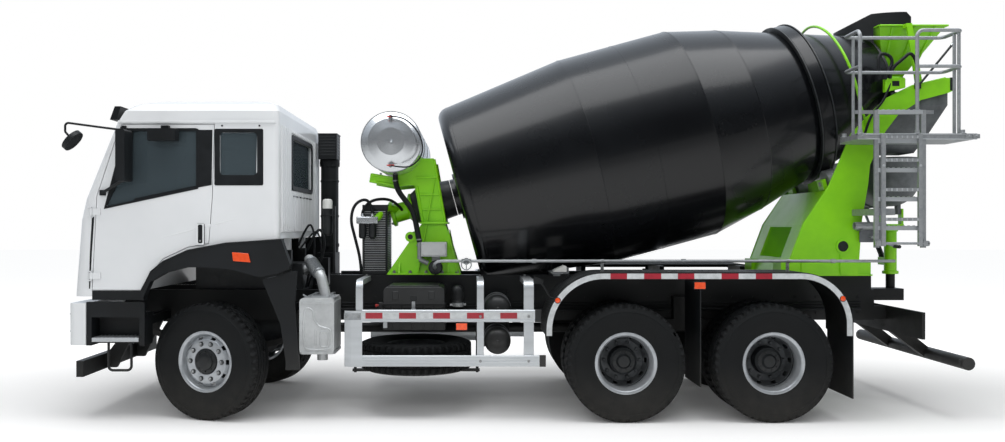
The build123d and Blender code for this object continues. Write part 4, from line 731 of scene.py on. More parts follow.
# Corrugated rear wall round the rear window.
rear_x = -0.64
ribs = bmesh.new()
rib_pitch, rib_width, rib_depth = 0.092, 0.046, 0.013
for index in range(-11, 12):
    y = index * rib_pitch
    spans = ((1.735, 2.135), (2.705, 2.735)) if abs(y) < 0.61 else ((1.735, 2.735),)
    for low, high in spans:
        prism(ribs, [(at(rear_x) + 0.001, y - rib_width / 2 - 0.008, low),
            (at(rear_x) - rib_depth, y - rib_width / 2, low + 0.01),
            (at(rear_x) - rib_depth, y + rib_width / 2, low + 0.01),
            (at(rear_x) + 0.001, y + rib_width / 2 + 0.008, low)], (0, 0, high - low))
as_piece("rear_wall_ribs", ribs, white_enamel, "cab", flat=True, bevel=0.003)
rear_frame = bmesh.new()
rings = []
for outline in (rounded(-0.59, 0.59, 2.15, 2.7, 0.06), rounded(-0.545, 0.545, 2.195, 2.655, 0.045)):
    corners = [rear_frame.verts.new((at(rear_x) - 0.001, y, z)) for y, z in outline]
    rings += [rear_frame.edges.new(pair) for pair in zip(corners, corners[1:] + corners[:1])]
faces = bmesh.ops.bridge_loops(rear_frame, edges=rings)["faces"]
sunk = bmesh.ops.extrude_face_region(rear_frame, geom=faces)
bmesh.ops.translate(rear_frame, vec=(-0.014, 0, 0),
    verts=[g for g in sunk["geom"] if isinstance(g, bmesh.types.BMVert)])
as_piece("rear_window_rubber", rear_frame, window_rubber, "cab", bevel=0.004)
vents = bmesh.new()
for index in range(-8, 9):
    if index:
        y = index * 0.062
        block(vents, (rear_x - 0.015, y - 0.012, 2.085), (rear_x - 0.0005, y + 0.012, 2.1))
as_piece("rear_vents", vents, gloss_black, "cab", flat=True)

# Front: grille panel, slats, mesh, windscreen rubber, cowl, wipers, visor ribs, roof lamps and hatch.
panel = bmesh.new()
front_panel(panel, (-0.86, 0.86), (1.3, 1.815), 0.002)
as_piece("grille_panel", panel, gloss_black, "cab", thickness=0.012, inward=False)
slats = bmesh.new()
for z in (1.345, 1.43, 1.515, 1.6, 1.685, 1.77):
    front_panel(slats, (-0.8, 0.8), (z - 0.016, z + 0.016), 0.017, rows=1)
as_piece("grille_slats", slats, grained_abs, "cab", thickness=0.018, inward=False, bevel=0.004)
mesh_screen = bmesh.new()
for index in range(-19, 20):
    y = index * 0.042
    front_panel(mesh_screen, (y - 0.004, y + 0.004), (1.345, 1.77), 0.0145, steps=1, rows=8)
as_piece("grille_mesh", mesh_screen, gloss_black, "cab", thickness=0.005, inward=False)
screen_rubber = bmesh.new()
for y, z in (((-1.03, 1.03), (2.066, 2.102)), ((-1.03, 1.03), (2.698, 2.728)),
        ((-1.03, -0.994), (2.1, 2.7)), ((0.994, 1.03), (2.1, 2.7))):
    front_panel(screen_rubber, y, z, 0.0005, rows=8)
as_piece("windscreen_rubber", screen_rubber, window_rubber, "cab", thickness=0.008, inward=False)
cowl = bmesh.new()
front_panel(cowl, (-1.02, 1.02), (1.885, 2.04), 0.001, rows=4)
as_piece("wiper_cowl", cowl, grained_abs, "cab", thickness=0.007, inward=False, bevel=0.003)
wipers = bmesh.new()
for foot, tip in ((0.62, 0.1), (-0.1, -0.62)):
    first = Vector((front_x(foot, 2.0) + 0.018, foot, 2.0))
    last = Vector((front_x(tip, 2.42) + 0.022, tip, 2.42))
    bar(wipers, first - Vector((0.016, 0, 0)), first + Vector((0.012, 0, 0)), 0.02, 16)
    bar(wipers, first, last, 0.007, 8)
    way = Vector((0.0, 1.0, -0.3)).normalized()
    for step in range(6):
        near, far = last + way * (-0.3 + 0.1 * step), last + way * (-0.2 + 0.1 * step)
        near.x, far.x = front_x(near.y, near.z) + 0.012, front_x(far.y, far.z) + 0.012
        bar(wipers, near, far, 0.006, 8)
as_piece("wipers", wipers, gloss_black, "cab")
visor_ribs = bmesh.new()
for y in (-0.95, -0.55, -0.15, 0.25, 0.65, 0.95):
    prism(visor_ribs, [(at(0.957), y - 0.01, 2.792), (at(0.912), y - 0.01, 2.913),
        (at(0.905), y - 0.01, 2.913), (at(0.95), y - 0.01, 2.792)], (0, 0.02, 0))
as_piece("visor_ribs", visor_ribs, grained_abs, "cab", flat=True)
roof_lamps = bmesh.new()
for y in (-0.85, -0.42, 0.0, 0.42, 0.85):
    block(roof_lamps, (0.64, y - 0.05, 2.925), (0.7, y + 0.05, 2.95))
as_piece("roof_lamps", roof_lamps, amber_lens, "cab", bevel=0.008)
roof_hatch = bmesh.new()
block(roof_hatch, (-0.1, -0.33, 2.95), (0.4, 0.33, 2.9648))
as_piece("roof_hatch", roof_hatch, white_enamel, "cab", flat=True, bevel=0.006)

# Bumper: lamps behind the guards, grating, plate and steps.
for side, word in ((1, "left"), (-1, "right")):
    housing = bmesh.new()
    block(housing, (1.278, side * 0.7, 0.79), (1.296, side * 1.04, 1.01))
    as_piece(f"lamp_housing_{word}", housing, grained_abs, bevel=0.01)
    lenses = bmesh.new()
    for y, radius in ((0.79, 0.068), (0.945, 0.068)):
        middle = Matrix.Translation((at(1.2955), side * y, 0.905))
        spun(lenses, ((0.0, 0.016), (radius * 0.6, 0.012), (radius, 0.004), (radius, 0.0)), 32,
            turn=middle @ Matrix.Rotation(math.radians(90), 4, "Y"))
    as_piece(f"head_lenses_{word}", lenses, clear_lens)
    flash = bmesh.new()
    block(flash, (1.2955, side * 0.715, 0.802), (1.302, side * 1.02, 0.824))
    as_piece(f"turn_lens_{word}", flash, amber_lens, bevel=0.003)
    fog = bmesh.new()
    bar(fog, (at(1.289), side * 0.5, 0.86), (at(1.3), side * 0.5, 0.86), 0.06, 28)
    as_piece(f"fog_lamp_{word}", fog, clear_lens, bevel=0.004)
grating = bmesh.new()
block(grating, (1.2895, -0.42, 0.93), (1.296, 0.42, 1.05))
for index in range(9):
    block(grating, (1.295, -0.4, 0.936 + index * 0.0125), (1.3, 0.4, 0.941 + index * 0.0125))
as_piece("bumper_grating", grating, grained_abs, flat=True)
plate = bmesh.new()
block(plate, (1.2895, -0.22, 0.725), (1.294, 0.22, 0.78))
as_piece("blank_plate", plate, white_enamel, flat=True, bevel=0.002)
foot_plates = bmesh.new()
for side in (1, -1):
    block(foot_plates, (0.645, side * 0.965, 0.7655), (1.074, side * 1.168, 0.772))
    for index in range(12):
        x = 0.665 + index * 0.035
        block(foot_plates, (x, side * 0.975, 0.772), (x + 0.012, side * 1.16, 0.776))
    block(foot_plates, (0.645, side * 1.1655, 0.735), (1.074, side * 1.17, 0.772))
as_piece("foot_plates", foot_plates, drawn_aluminium, flat=True, bevel=0.0015)

# ---------------------------------------------------------------- side guards


def across(shape, outline, start, end):
    """Outline of (y, z) points, extruded along the truck between two places."""
    return prism(shape, [(at(start), y, z) for y, z in outline], (end - start, 0, 0))


def upright(shape, outline, low, high, side=1):
    """Outline of (place, y) points, extruded upwards."""
    return prism(shape, [(at(x), y * side, low) for x, y in outline], (0, 0, high - low))


def plank(shape, start, end, low, high, side, grooves):
    """Extruded rail between two places, with rolled edges and grooves along its face."""
    face, depth = 1.15, 0.003
    outline = [(face - 0.004, low), (face, low + 0.004)]
    for height in grooves:
        outline += [(face, height - 0.004), (face - depth, height - 0.002), (face - depth, height + 0.002),
            (face, height + 0.004)]
    outline += [(face, high - 0.004), (face - 0.004, high), (1.125, high), (1.125, low)]
    across(shape, [(side * y, z) for y, z in outline], start, end)


def bent_post(shape, start, end, bottom, side):
    """Flat post that bends inboard at its top and runs to the frame."""
    turn = [math.radians(9 * step) for step in range(11)]
    outer = [(1.035 + 0.09 * math.cos(a), 1.212 + 0.09 * math.sin(a)) for a in turn]
    inner = [(1.035 + 0.06 * math.cos(a), 1.212 + 0.04 * math.sin(a)) for a in reversed(turn)]
    outline = [(1.125, bottom)] + outer + [(0.43, 1.302), (0.43, 1.252)] + inner + [(1.095, bottom)]
    across(shape, [(side * y, z) for y, z in outline], start, end)


def nut(shape, place, way, across_flats=0.024, height=0.016):
    """Hexagon nut on a washer, with the stud's end."""
    way = Vector(way).normalized()
    base = Vector(place)
    bar(shape, base, base + way * 0.003, across_flats * 0.78, 20)
    bar(shape, base + way * 0.002, base + way * height, across_flats * 0.58, 6)
    bar(shape, base + way * 0.002, base + way * (height + 0.006), across_flats * 0.3, 12)


rail_front, rail_end = -1.406, -3.044
rails, posts, caps, plates, bolts = (bmesh.new() for _ in range(5))
for side in (1, -1):
    plank(rails, rail_end, rail_front, 0.915, 1.026, side, (0.935, 1.008))
    plank(rails, -3.086, rail_front, 0.505, 0.606, side, (0.528, 0.5555, 0.583))
    # Folded panel ahead of the rails.
    upright(rails, ((-1.238, 1.11), (-1.243, 1.12), (-1.3, 1.147), (-1.31, 1.15), (-1.406, 1.15),
        (-1.406, 1.144), (-1.312, 1.144), (-1.247, 1.113), (-1.243, 1.11)), 0.501, 1.017, side)
    for start, end, bottom in ((-1.345, -1.409, 0.937), (-2.463, -2.527, 0.526), (-2.896, -2.989, 0.526)):
        bent_post(posts, start, end, bottom, side)
    for start, low, high in ((rail_end, 0.913, 1.028), (-3.086, 0.503, 0.608)):
        block(caps, (start - 0.012, side * 1.122, low), (start + 0.047, side * 1.152, high))
    block(plates, (-1.396, side * 1.15, 0.934), (-1.24, side * 1.153, 0.998))
    block(plates, (-1.636, side * 1.118, 0.86), (-1.6, side * 1.148, 0.916))
    for place in (-1.262, -1.374):
        nut(bolts, (at(place), side * 1.153, 0.966), (0, side, 0), 0.018, 0.01)
    for place in (-2.495, -2.94):
        for height in (0.5555, 0.966):
            nut(bolts, (at(place), side * 1.149, height), (0, side, 0), 0.017, 0.009)
    for place in (-1.377, -2.495, -2.94):
        nut(bolts, (at(place), side * 0.52, 1.303), (0, 0, 1), 0.024, 0.014)
as_piece("guard_rails", rails, drawn_aluminium, replaced=("side_guards",))
as_piece("guard_posts", posts, drawn_aluminium, bevel=0.002)
as_piece("guard_caps", caps, black_moulding, bevel=0.003)
as_piece("guard_plates", plates, galvanised, bevel=0.001)
as_piece("guard_bolts", bolts, zinc_nut)

reds = ((-1.437, -1.594), (-1.746, -1.903), (-2.059, -2.215), (-2.371, -2.527), (-2.678, -2.834))
edges = [rail_front] + [place for pair in reds for place in pair] + [-2.985]
for name, blocks, material in (("guard_tape_red", reds, tape_red),
        ("guard_tape_white", list(zip(edges[::2], edges[1::2])), tape_white)):
    shape = bmesh.new()
    for side in (1, -1):
        for front, rear in blocks:
            block(shape, (rear, side * 1.1495, 0.946), (front, side * 1.1506, 1.001))
    as_piece(name, shape, material, flat=True)

# Side marker lamps: under the upper rail, and under the mudguard's edge.
housing, lens = bmesh.new(), bmesh.new()
for side in (1, -1):
    for front, rear, low, high, face in ((-2.267, -2.377, 0.842, 0.902, 1.148),
            (-4.439, -4.549, 1.226, 1.286, 1.238)):
        block(housing, (rear, side * (face - 0.03), low - 0.004),
            (front, side * (face - 0.004), high + 0.012))
        block(lens, (rear + 0.005, side * (face - 0.006), low),
            (front - 0.005, side * (face + 0.006), high))
    block(housing, (-4.515, side * 1.214, 1.29), (-4.47, side * 1.224, 1.36))
as_piece("marker_housings", housing, black_moulding, bevel=0.003)
as_piece("marker_lenses", lens, amber_lens, bevel=0.004)

# ---------------------------------------------------------------- rear mudguards
guard_front, guard_rear, guard_top, guard_low = -3.091, -5.882, 1.371, 0.799
flat_front, flat_rear = -3.615, -5.414


def guard_line(inset, steps=16):
    """Side view of the rear mudguard, set inward by so much, from its front foot to its rear foot."""
    points = [(guard_front - inset, guard_low)]
    for middle, reach, first in ((flat_front, guard_front - flat_front, 0),
            (flat_rear, flat_rear - guard_rear, 90)):
        for step in range(steps + 1):
            angle = math.radians(first + 90 * step / steps)
            points.append((middle + (reach - inset) * math.cos(angle),
                guard_top - reach + (reach - inset) * math.sin(angle)))
    return points + [(guard_rear + inset, guard_low)]


def guard_strip(shape, outer, inner, near, far):
    """Strip that follows the mudguard between two insets and two values of y."""
    lines = [[(at(x), z) for x, z in guard_line(inset)] for inset in (outer, inner)]
    rows = [[shape.verts.new((x, y, z)) for x, z in line]
        for line, y in ((lines[0], near), (lines[0], far), (lines[1], far), (lines[1], near))]
    for one, two in zip(rows, rows[1:] + rows[:1]):
        for a, b, c, d in zip(one, one[1:], two[1:], two):
            shape.faces.new((a, b, c, d))
    for end in (0, -1):
        shape.faces.new([row[end] for row in rows])


strip, beads, hem = bmesh.new(), bmesh.new(), bmesh.new()
for side in (1, -1):
    near, far = sorted((side * 1.2495, side * 1.2508))
    guard_strip(strip, 0.004, 0.054, near, far)
    for y in (0.7, 0.79, 0.88, 0.97, 1.06, 1.15):
        near, far = sorted((side * (y - 0.016), side * (y + 0.016)))
        guard_strip(beads, -0.005, 0.004, near, far)
    near, far = sorted((side * 1.236, side * 1.2494))
    guard_strip(hem, -0.003, 0.006, near, far)
as_piece("mudguard_tape_white", strip, tape_white, flat=True)
as_piece("mudguard_ribs", beads, black_moulding, bevel=0.002)
as_piece("mudguard_hem", hem, black_rubber)
shape = bmesh.new()
for side in (1, -1):
    for front, rear in ((-3.676, -3.827), (-3.982, -4.138), (-4.289, -4.439), (-4.686, -4.842),
            (-4.998, -5.148)):
        block(shape, (rear, side * 1.25, 1.317), (front, side * 1.2513, 1.367))
as_piece("mudguard_tape_red", shape, tape_red, flat=True)

discs, holders, stays, chock = (bmesh.new() for _ in range(4))
for side in (1, -1):
    for x, z in ((-3.196, 1.122), (-5.79, 1.138)):
        base = (at(x), side * 1.246, z)
        spun(discs, ((0, 0.016), (0.014, 0.0155), (0.021, 0.013), (0.024, 0.008), (0.024, 0.0)), 28,
            turn=along_line(base, (at(x), side * 1.3, z)))
        spun(holders, ((0.0, 0.0), (0.029, 0.0), (0.029, 0.007), (0.025, 0.009), (0.0, 0.009)), 28,
            turn=along_line(base, (at(x), side * 1.3, z)))
    # Bracket plate and stay ahead of the guard.
    prism(stays, [(at(x), side * 1.112, z) for x, z in ((-2.99, 1.332), (-3.08, 1.3), (-3.076, 1.264),
        (-2.99, 1.264))], (0, side * 0.008, 0))
    bar(stays, (at(-3.06), side * 1.12, 1.27), (at(-3.14), side * 1.12, 1.14), 0.009, 10)
    bar(stays, (at(-3.14), side * 1.12, 1.14), (at(-3.175), side * 1.16, 1.135), 0.009, 10)
    block(stays, (-3.02, side * 0.43, 1.292), (-2.99, side * 1.115, 1.302))
as_piece("guard_lamps", discs, amber_lens)
as_piece("guard_lamp_seats", holders, black_moulding)
as_piece("guard_stays", stays, chassis_enamel, bevel=0.001)
# Wheel chock in its holder, inboard of the guard.
prism(chock, [(at(x), 0.66, z) for x, z in ((-3.325, 1.36), (-3.325, 1.412), (-3.3, 1.418), (-3.2, 1.372),
    (-3.196, 1.36))], (0, 0.16, 0))
for place in (-3.3, -3.275, -3.25, -3.225):
    top = 1.372 + (-3.2 - place) * 0.46
    bar(chock, (at(place), 0.662, top), (at(place), 0.818, top), 0.004, 8)
as_piece("wheel_chock", chock, white_plastic, bevel=0.003)
shape = bmesh.new()
block(shape, (-3.345, 0.43, 1.345), (-3.18, 0.83, 1.352))
block(shape, (-3.345, 0.645, 1.345), (-3.335, 0.83, 1.4))
block(shape, (-3.3, 0.35, 1.3), (-3.23, 0.455, 1.352))
as_piece("chock_holder", shape, galvanised, bevel=0.001)

# ---------------------------------------------------------------- battery box, dryer and air tanks
front, rear = -1.58, -2.165
tray, cover, strap, switch = (bmesh.new() for _ in range(4))
block(tray, (rear, 0.43, 0.82), (front, 0.992, 1.07))
for place in (-1.66, -1.76, -1.86, -1.96, -2.06):
    block(tray, (place - 0.012, 0.985, 0.828), (place + 0.012, 0.999, 1.06))
block(tray, (rear - 0.001, 0.43, 1.05), (front + 0.001, 1.0, 1.078))
as_piece("battery_tray", tray, chassis_enamel, bevel=0.006, replaced=("equipment_boxes",))
prism(cover, [(at(x), 0.434, z) for x, z in rounded(rear + 0.004, front - 0.004, 1.03, 1.228, 0.05, 6)],
    (0, 0.564, 0))
block(cover, (rear + 0.055, 0.48, 1.222), (front - 0.055, 0.955, 1.238))
for place in (-1.7, -2.04):
    block(cover, (place - 0.03, 0.99, 1.105), (place + 0.03, 1.003, 1.19))
as_piece("battery_cover", cover, black_moulding, bevel=0.012)
# Black plate of painted shade in the cover's recess where the strap runs.
recess_shade = bmesh.new()
block(recess_shade, (-1.898, 0.994, 1.088), (-1.842, 1.002, 1.15))
as_piece("battery_recess_shade", recess_shade, cap_black, bevel=0.003)
block(strap, (-1.886, 0.998, 1.01), (-1.854, 1.006, 1.092))
block(strap, (-1.892, 1.004, 1.0), (-1.848, 1.014, 1.026))
as_piece("battery_strap", strap, galvanised, bevel=0.0008)
block(switch, (-1.585, 0.905, 1.02), (-1.54, 0.975, 1.08))
as_piece("switch_body", switch, black_moulding, bevel=0.006)
shape = bmesh.new()
bar(shape, (at(-1.545), 0.94, 1.05), (at(-1.52), 0.94, 1.05), 0.01, 14)
block(shape, (-1.524, 0.905, 1.038), (-1.508, 0.98, 1.062))
as_piece("switch_key", shape, signal_red, bevel=0.004)

tanks, bands = bmesh.new(), bmesh.new()
tank_end = ((0, 0.54), (0.045, 0.536), (0.085, 0.523), (0.112, 0.5), (0.124, 0.47), (0.126, 0.445))
for height in (0.712, 1.02):
    spun(tanks, ((0, 0.02), (0.1, 0.03), (0.126, 0.06)) + tuple(reversed(tank_end)), 48,
        turn=along_line((at(-2.66), 0.46, height), (at(-2.66), 1.0, height)))
    spun(tanks, ((0.0, 0.0), (0.02, 0.0), (0.02, 0.014), (0.014, 0.018), (0.0, 0.018)), 6,
        turn=along_line((at(-2.66), 0.99, height), (at(-2.66), 1.1, height)))
    for reach in (0.57, 0.8):
        spun(bands, ((0.1265, 0.0), (0.1295, 0.0), (0.1295, 0.035), (0.1265, 0.035)), 48, closed=True,
            turn=along_line((at(-2.66), reach, height), (at(-2.66), 1.1, height)))
        bar(bands, (at(-2.66 + 0.125), reach + 0.018, height), (at(-2.66 + 0.155), reach + 0.018, height),
            0.006, 10)
as_piece("air_tanks", tanks, black_moulding)
as_piece("air_tank_bands", bands, galvanised)
shape = bmesh.new()
block(shape, (-2.79, 0.43, 0.6), (-2.53, 0.442, 1.15))
for place in (-2.78, -2.54):
    block(shape, (place - 0.006, 0.43, 0.6), (place + 0.006, 0.48, 1.15))
block(shape, (-2.34, 0.43, 1.0), (-2.22, 0.6, 1.012))
block(shape, (-2.34, 0.43, 1.012), (-2.22, 0.442, 1.08))
as_piece("tank_bracket", shape, chassis_enamel, bevel=0.002)
canister, head = bmesh.new(), bmesh.new()
spun(canister, ((0, 0.212), (0.028, 0.208), (0.046, 0.196), (0.056, 0.176), (0.06, 0.15), (0.06, 0.06),
    (0.064, 0.056), (0.064, 0.044), (0.0, 0.044)), 36, turn=Matrix.Translation((at(-2.279), 0.6, 1.008)))
for step in range(18):
    angle = math.radians(20 * step)
    x, y = 0.061 * math.cos(angle), 0.061 * math.sin(angle)
    bar(canister, (at(-2.279) + x, 0.6 + y, 1.085), (at(-2.279) + x, 0.6 + y, 1.15), 0.0028, 6)
as_piece("dryer_canister", canister, black_moulding)
spun(head, ((0.0, 0.0), (0.05, 0.0), (0.058, 0.008), (0.058, 0.042), (0.0, 0.042)), 28,
    turn=Matrix.Translation((at(-2.279), 0.6, 1.008)))
for angle in (20, 100, 200, 290):
    way = (math.cos(math.radians(angle)), math.sin(math.radians(angle)))
    bar(head, (at(-2.279), 0.6, 1.028), (at(-2.279) + way[0] * 0.082, 0.6 + way[1] * 0.082, 1.028), 0.012,
        12)
as_piece("dryer_head", head, aluminised_steel)

# ---------------------------------------------------------------- silencer
seams, flange, elbow = (bmesh.new() for _ in range(3))
for name, points in (("silencer_bead_a", ((-0.866, 0.86), (-0.866, 1.01), (-0.905, 1.052), (-0.958, 1.02),
        (-0.958, 0.95), (-1.0, 0.88), (-1.06, 0.862), (-1.118, 0.85), (-1.124, 0.78), (-1.124, 0.7),
        (-1.09, 0.66), (-0.9, 0.66), (-0.866, 0.69), (-0.866, 0.86))),
        ("silencer_bead_b", ((-1.02, 0.76), (-1.018, 0.826), (-1.055, 0.828), (-1.092, 0.826),
        (-1.094, 0.76), (-1.094, 0.69), (-1.055, 0.686), (-1.018, 0.69), (-1.02, 0.76))),
        ("silencer_bead_c", ((-0.978, 0.7), (-0.978, 0.78), (-0.978, 0.85)))):
    hose(name, [(x, 1.147, z) for x, z in points], 0.01, aluminised_steel, sides=3)
for height in (0.69, 1.04):
    for place in (-0.842, -1.138):
        bar(seams, (at(place), 1.12, height), (at(place), 1.126, height), 0.01, 6)
for low, high in ((0.618, 0.64), (1.08, 1.104)):
    prism(seams, [(at(x), y, low) for x, y in rounded(-1.154, -0.822, 0.694, 1.156, 0.044, 5)],
        (0, 0, high - low))
block(flange, (-1.148, 0.83, 1.13), (-0.87, 1.08, 1.142))
for x, reach in ((-1.14, -0.04), (-0.88, 0.036)):
    prism(flange, [(at(x), 1.06, 1.13), (at(x + reach), 1.06, 1.152), (at(x + reach), 1.02, 1.152),
        (at(x), 1.02, 1.13)], (0, 0, 0.012))
for x, y in ((-1.095, 0.872), (-0.925, 0.872), (-1.095, 1.038), (-0.925, 1.038)):
    nut(flange, (at(x), y, 1.142), (0, 0, 1), 0.02, 0.012)
for place in (-1.04, -0.88):
    block(flange, (place - 0.018, 0.43, 1.096), (place + 0.018, 0.86, 1.14))
as_piece("silencer_seams", seams, aluminised_steel, bevel=0.001)
as_piece("silencer_flange", flange, galvanised, bevel=0.001)
start, end = Vector((at(-0.962), 0.852, 1.345)), Vector((at(-0.86), 0.725, 1.458))
length = (end - start).length
wave = [(0.05 + (0.014 if step % 2 else 0.006), 0.02 + (length - 0.04) * step / 26) for step in range(27)]
spun(elbow, ((0.0505, 0.0), (0.06, 0.0), (0.06, 0.018)) + tuple(wave) + ((0.06, length - 0.018),
    (0.06, length), (0.0505, length)), 36, turn=along_line(start, end))
as_piece("exhaust_bellows", elbow, wire_braid)

# ---------------------------------------------------------------- air intake and filters behind the cab
bands, louvres = bmesh.new(), bmesh.new()
for low, high, radius in ((1.56, 1.6, 0.106), (1.9, 1.925, 0.104), (2.3, 2.325, 0.104),
        (2.48, 2.555, 0.112)):
    spun(bands, ((0.099, low), (radius, low), (radius + 0.003, (low + high) / 2), (radius, high),
        (0.099, high)), 40, closed=True, turn=Matrix.Translation((at(-0.79), -0.92, 0)))
for step in range(7):
    height = 2.6 + 0.034 * step
    for y in (-1.053, -0.783):
        block(louvres, (-0.875, y, height), (-0.695, y + 0.006, height + 0.016))
    for x in (-0.893, -0.683):
        block(louvres, (x, -1.035, height), (x + 0.006, -0.795, height + 0.016))
block(louvres, (-0.896, -1.056, 2.838), (-0.674, -0.774, 2.85))
as_piece("intake_bands", bands, black_rubber)
as_piece("intake_louvres", louvres, black_moulding, bevel=0.002)
stand, jar, cap = bmesh.new(), bmesh.new(), bmesh.new()
block(stand, (-1.035, 0.27, 1.311), (-1.015, 0.33, 2.0))
block(stand, (-1.03, 0.24, 1.9), (-0.905, 0.36, 1.912))
block(stand, (-1.09, 0.25, 1.311), (-1.0, 0.35, 1.323))
as_piece("filter_stand", stand, chassis_enamel, bevel=0.002)
spun(jar, ((0.0, 0.0), (0.034, 0.004), (0.046, 0.02), (0.048, 0.05), (0.048, 0.25), (0.052, 0.254),
    (0.052, 0.275), (0.0, 0.275)), 36, turn=Matrix.Translation((at(-0.955), 0.3, 1.7)))
as_piece("filter_bowl", jar, black_moulding)
spun(cap, ((0.0, 0.0), (0.05, 0.0), (0.05, 0.07), (0.046, 0.088), (0.03, 0.096), (0.0, 0.098)), 36,
    turn=Matrix.Translation((at(-0.955), 0.3, 1.976)))
as_piece("filter_cap", cap, white_plastic)

# Air and power lines in loose loops from the frame to the cab's rear wall.
for name, radius, points in (("cab_line_a", 0.011,
        ((-0.72, 0.2, 1.17), (-0.74, 0.2, 1.3), (-0.83, 0.26, 1.52), (-0.8, 0.3, 1.86), (-0.7, 0.28, 1.72),
        (-0.655, 0.26, 1.6))), ("cab_line_b", 0.009,
        ((-0.72, 0.1, 1.17), (-0.75, 0.1, 1.28), (-0.88, 0.12, 1.48), (-0.84, 0.16, 1.78),
        (-0.72, 0.18, 1.66), (-0.655, 0.18, 1.56))),
        ("cab_line_c", 0.014, ((-0.74, -0.16, 1.17), (-0.76, -0.16, 1.32), (-0.86, -0.2, 1.58),
        (-0.8, -0.24, 1.8), (-0.7, -0.24, 1.66), (-0.655, -0.24, 1.54)))):
    hose(name, points, radius, black_rubber)

# ---------------------------------------------------------------- oil cooler
fins, tanks = bmesh.new(), bmesh.new()
for step in range(34):
    height = 1.35 + 0.018 * step
    for y in (-0.206, 0.33):
        block(fins, (-1.545, y, height), (-1.335, y + 0.006, height + 0.004))
    block(fins, (-1.566, -0.185, height), (-1.56, 0.315, height + 0.004))
as_piece("cooler_fins", fins, aluminised_steel, flat=True)
for low, high in ((1.311, 1.345), (1.965, 2.014)):
    block(tanks, (-1.568, -0.208, low), (-1.312, 0.338, high))
for x in (-1.568, -1.32):
    block(tanks, (x, 0.328, 1.32), (x + 0.008, 0.34, 2.0))
as_piece("cooler_frame", tanks, black_moulding, bevel=0.004)
head, bowls = bmesh.new(), bmesh.new()
block(head, (-1.478, 0.338, 1.822), (-1.262, 0.43, 1.893))
for place in (-1.42, -1.32):
    bar(head, (at(place), 0.384, 1.893), (at(place), 0.384, 1.925), 0.02, 6)
    spun(bowls, ((0.0, 0.0), (0.024, 0.003), (0.036, 0.016), (0.038, 0.04), (0.038, 0.15), (0.0, 0.15)), 30,
        turn=Matrix.Translation((at(place), 0.384, 1.672)))
as_piece("filter_head", head, polished_plate, bevel=0.01)
as_piece("filter_bowls", bowls, black_moulding)
for name, points in (("oil_line_a", ((-1.42, 0.384, 1.92), (-1.42, 0.384, 1.98), (-1.36, 0.4, 2.08),
        (-1.24, 0.42, 2.02), (-1.2, 0.4, 1.86), (-1.24, 0.384, 1.7), (-1.3, 0.36, 1.45),
        (-1.3, 0.33, 1.33))), ("oil_line_b", ((-1.32, 0.384, 1.92), (-1.32, 0.384, 1.96),
        (-1.4, 0.36, 2.06), (-1.56, 0.26, 2.08), (-1.66, 0.16, 2.02), (-1.7, 0.08, 1.96)))):
    hose(name, points, 0.015, black_rubber)

# ---------------------------------------------------------------- drum drive and front pedestal
tilt = math.radians(15.25)
drum_foot = Vector((at(-2.289), 0, 2.113))
drum_way = Vector((-math.cos(tilt), 0, math.sin(tilt)))
drum_up = Vector((math.sin(tilt), 0, math.cos(tilt)))


def on_drum(reach):
    """Matrix that puts local Z along the drum's axis, so far from its head."""
    return along_line(drum_foot + drum_way * reach, drum_foot + drum_way * (reach + 1))


flange, studs = bmesh.new(), bmesh.new()
spun(flange, ((0.086, -0.735), (0.128, -0.735), (0.132, -0.728), (0.132, -0.7), (0.1, -0.69),
    (0.096, -0.56), (0.15, -0.52), (0.162, -0.512), (0.162, -0.494), (0.086, -0.494)), 44, closed=True,
    turn=on_drum(0))
as_piece("motor_cover", flange, lime_enamel)
for reach, radius, count in ((-0.737, 0.112, 6), (-0.246, 0.235, 16)):
    for step in range(count):
        angle = 2 * math.pi * (step + 0.5) / count
        spot = drum_foot + drum_way * reach + drum_up * radius * math.cos(angle) \
            + Vector((0, radius * math.sin(angle), 0))
        nut(studs, spot, -drum_way, 0.022, 0.014)
as_piece("drive_bolts", studs, zinc_nut)

ribs, seats_on_frame, eye_hole_shade = bmesh.new(), bmesh.new(), bmesh.new()
for side in (1, -1):
    for top, foot in (((-2.05, 2.3), (-1.88, 1.335)), ((-2.18, 1.76), (-2.27, 1.335))):
        prism(ribs, [(at(foot[0] - 0.006), side * 0.37, foot[1]),
            (at(foot[0] - 0.006), side * 0.425, foot[1]), (at(top[0] - 0.006), side * 0.385, top[1]),
            (at(top[0] - 0.006), side * 0.37, top[1])], (0.012, 0, 0))
    block(ribs, (-2.3, side * 0.345, 1.311), (-1.575, side * 0.43, 1.327))
    for low_x, high_x in ((-2.19, -2.17), (-1.7, -1.68)):
        prism(ribs, [(at(low_x), side * 0.371, 1.327), (at(low_x), side * 0.428, 1.327),
            (at(low_x), side * 0.371, 1.44)], (high_x - low_x, 0, 0))
    # Rim plate round the cradle of the tank, and the lifting eye, its hole a black disc of painted shade.
    spun(ribs, ((0.0, 0.0), (0.052, 0.0), (0.052, 0.014), (0.0, 0.014)), 28,
        turn=along_line((at(-1.8), side * 0.37, 1.69), (at(-1.8), side * 0.5, 1.69)))
    spun(eye_hole_shade, ((0.0, 0.0), (0.026, 0.0), (0.026, 0.003), (0.0, 0.003)), 24,
        turn=along_line((at(-1.8), side * 0.3835, 1.69), (at(-1.8), side * 0.5, 1.69)))
    for place in (-2.27, -2.12, -1.96, -1.8, -1.64):
        nut(seats_on_frame, (at(place), side * 0.405, 1.327), (0, 0, 1), 0.03, 0.022)
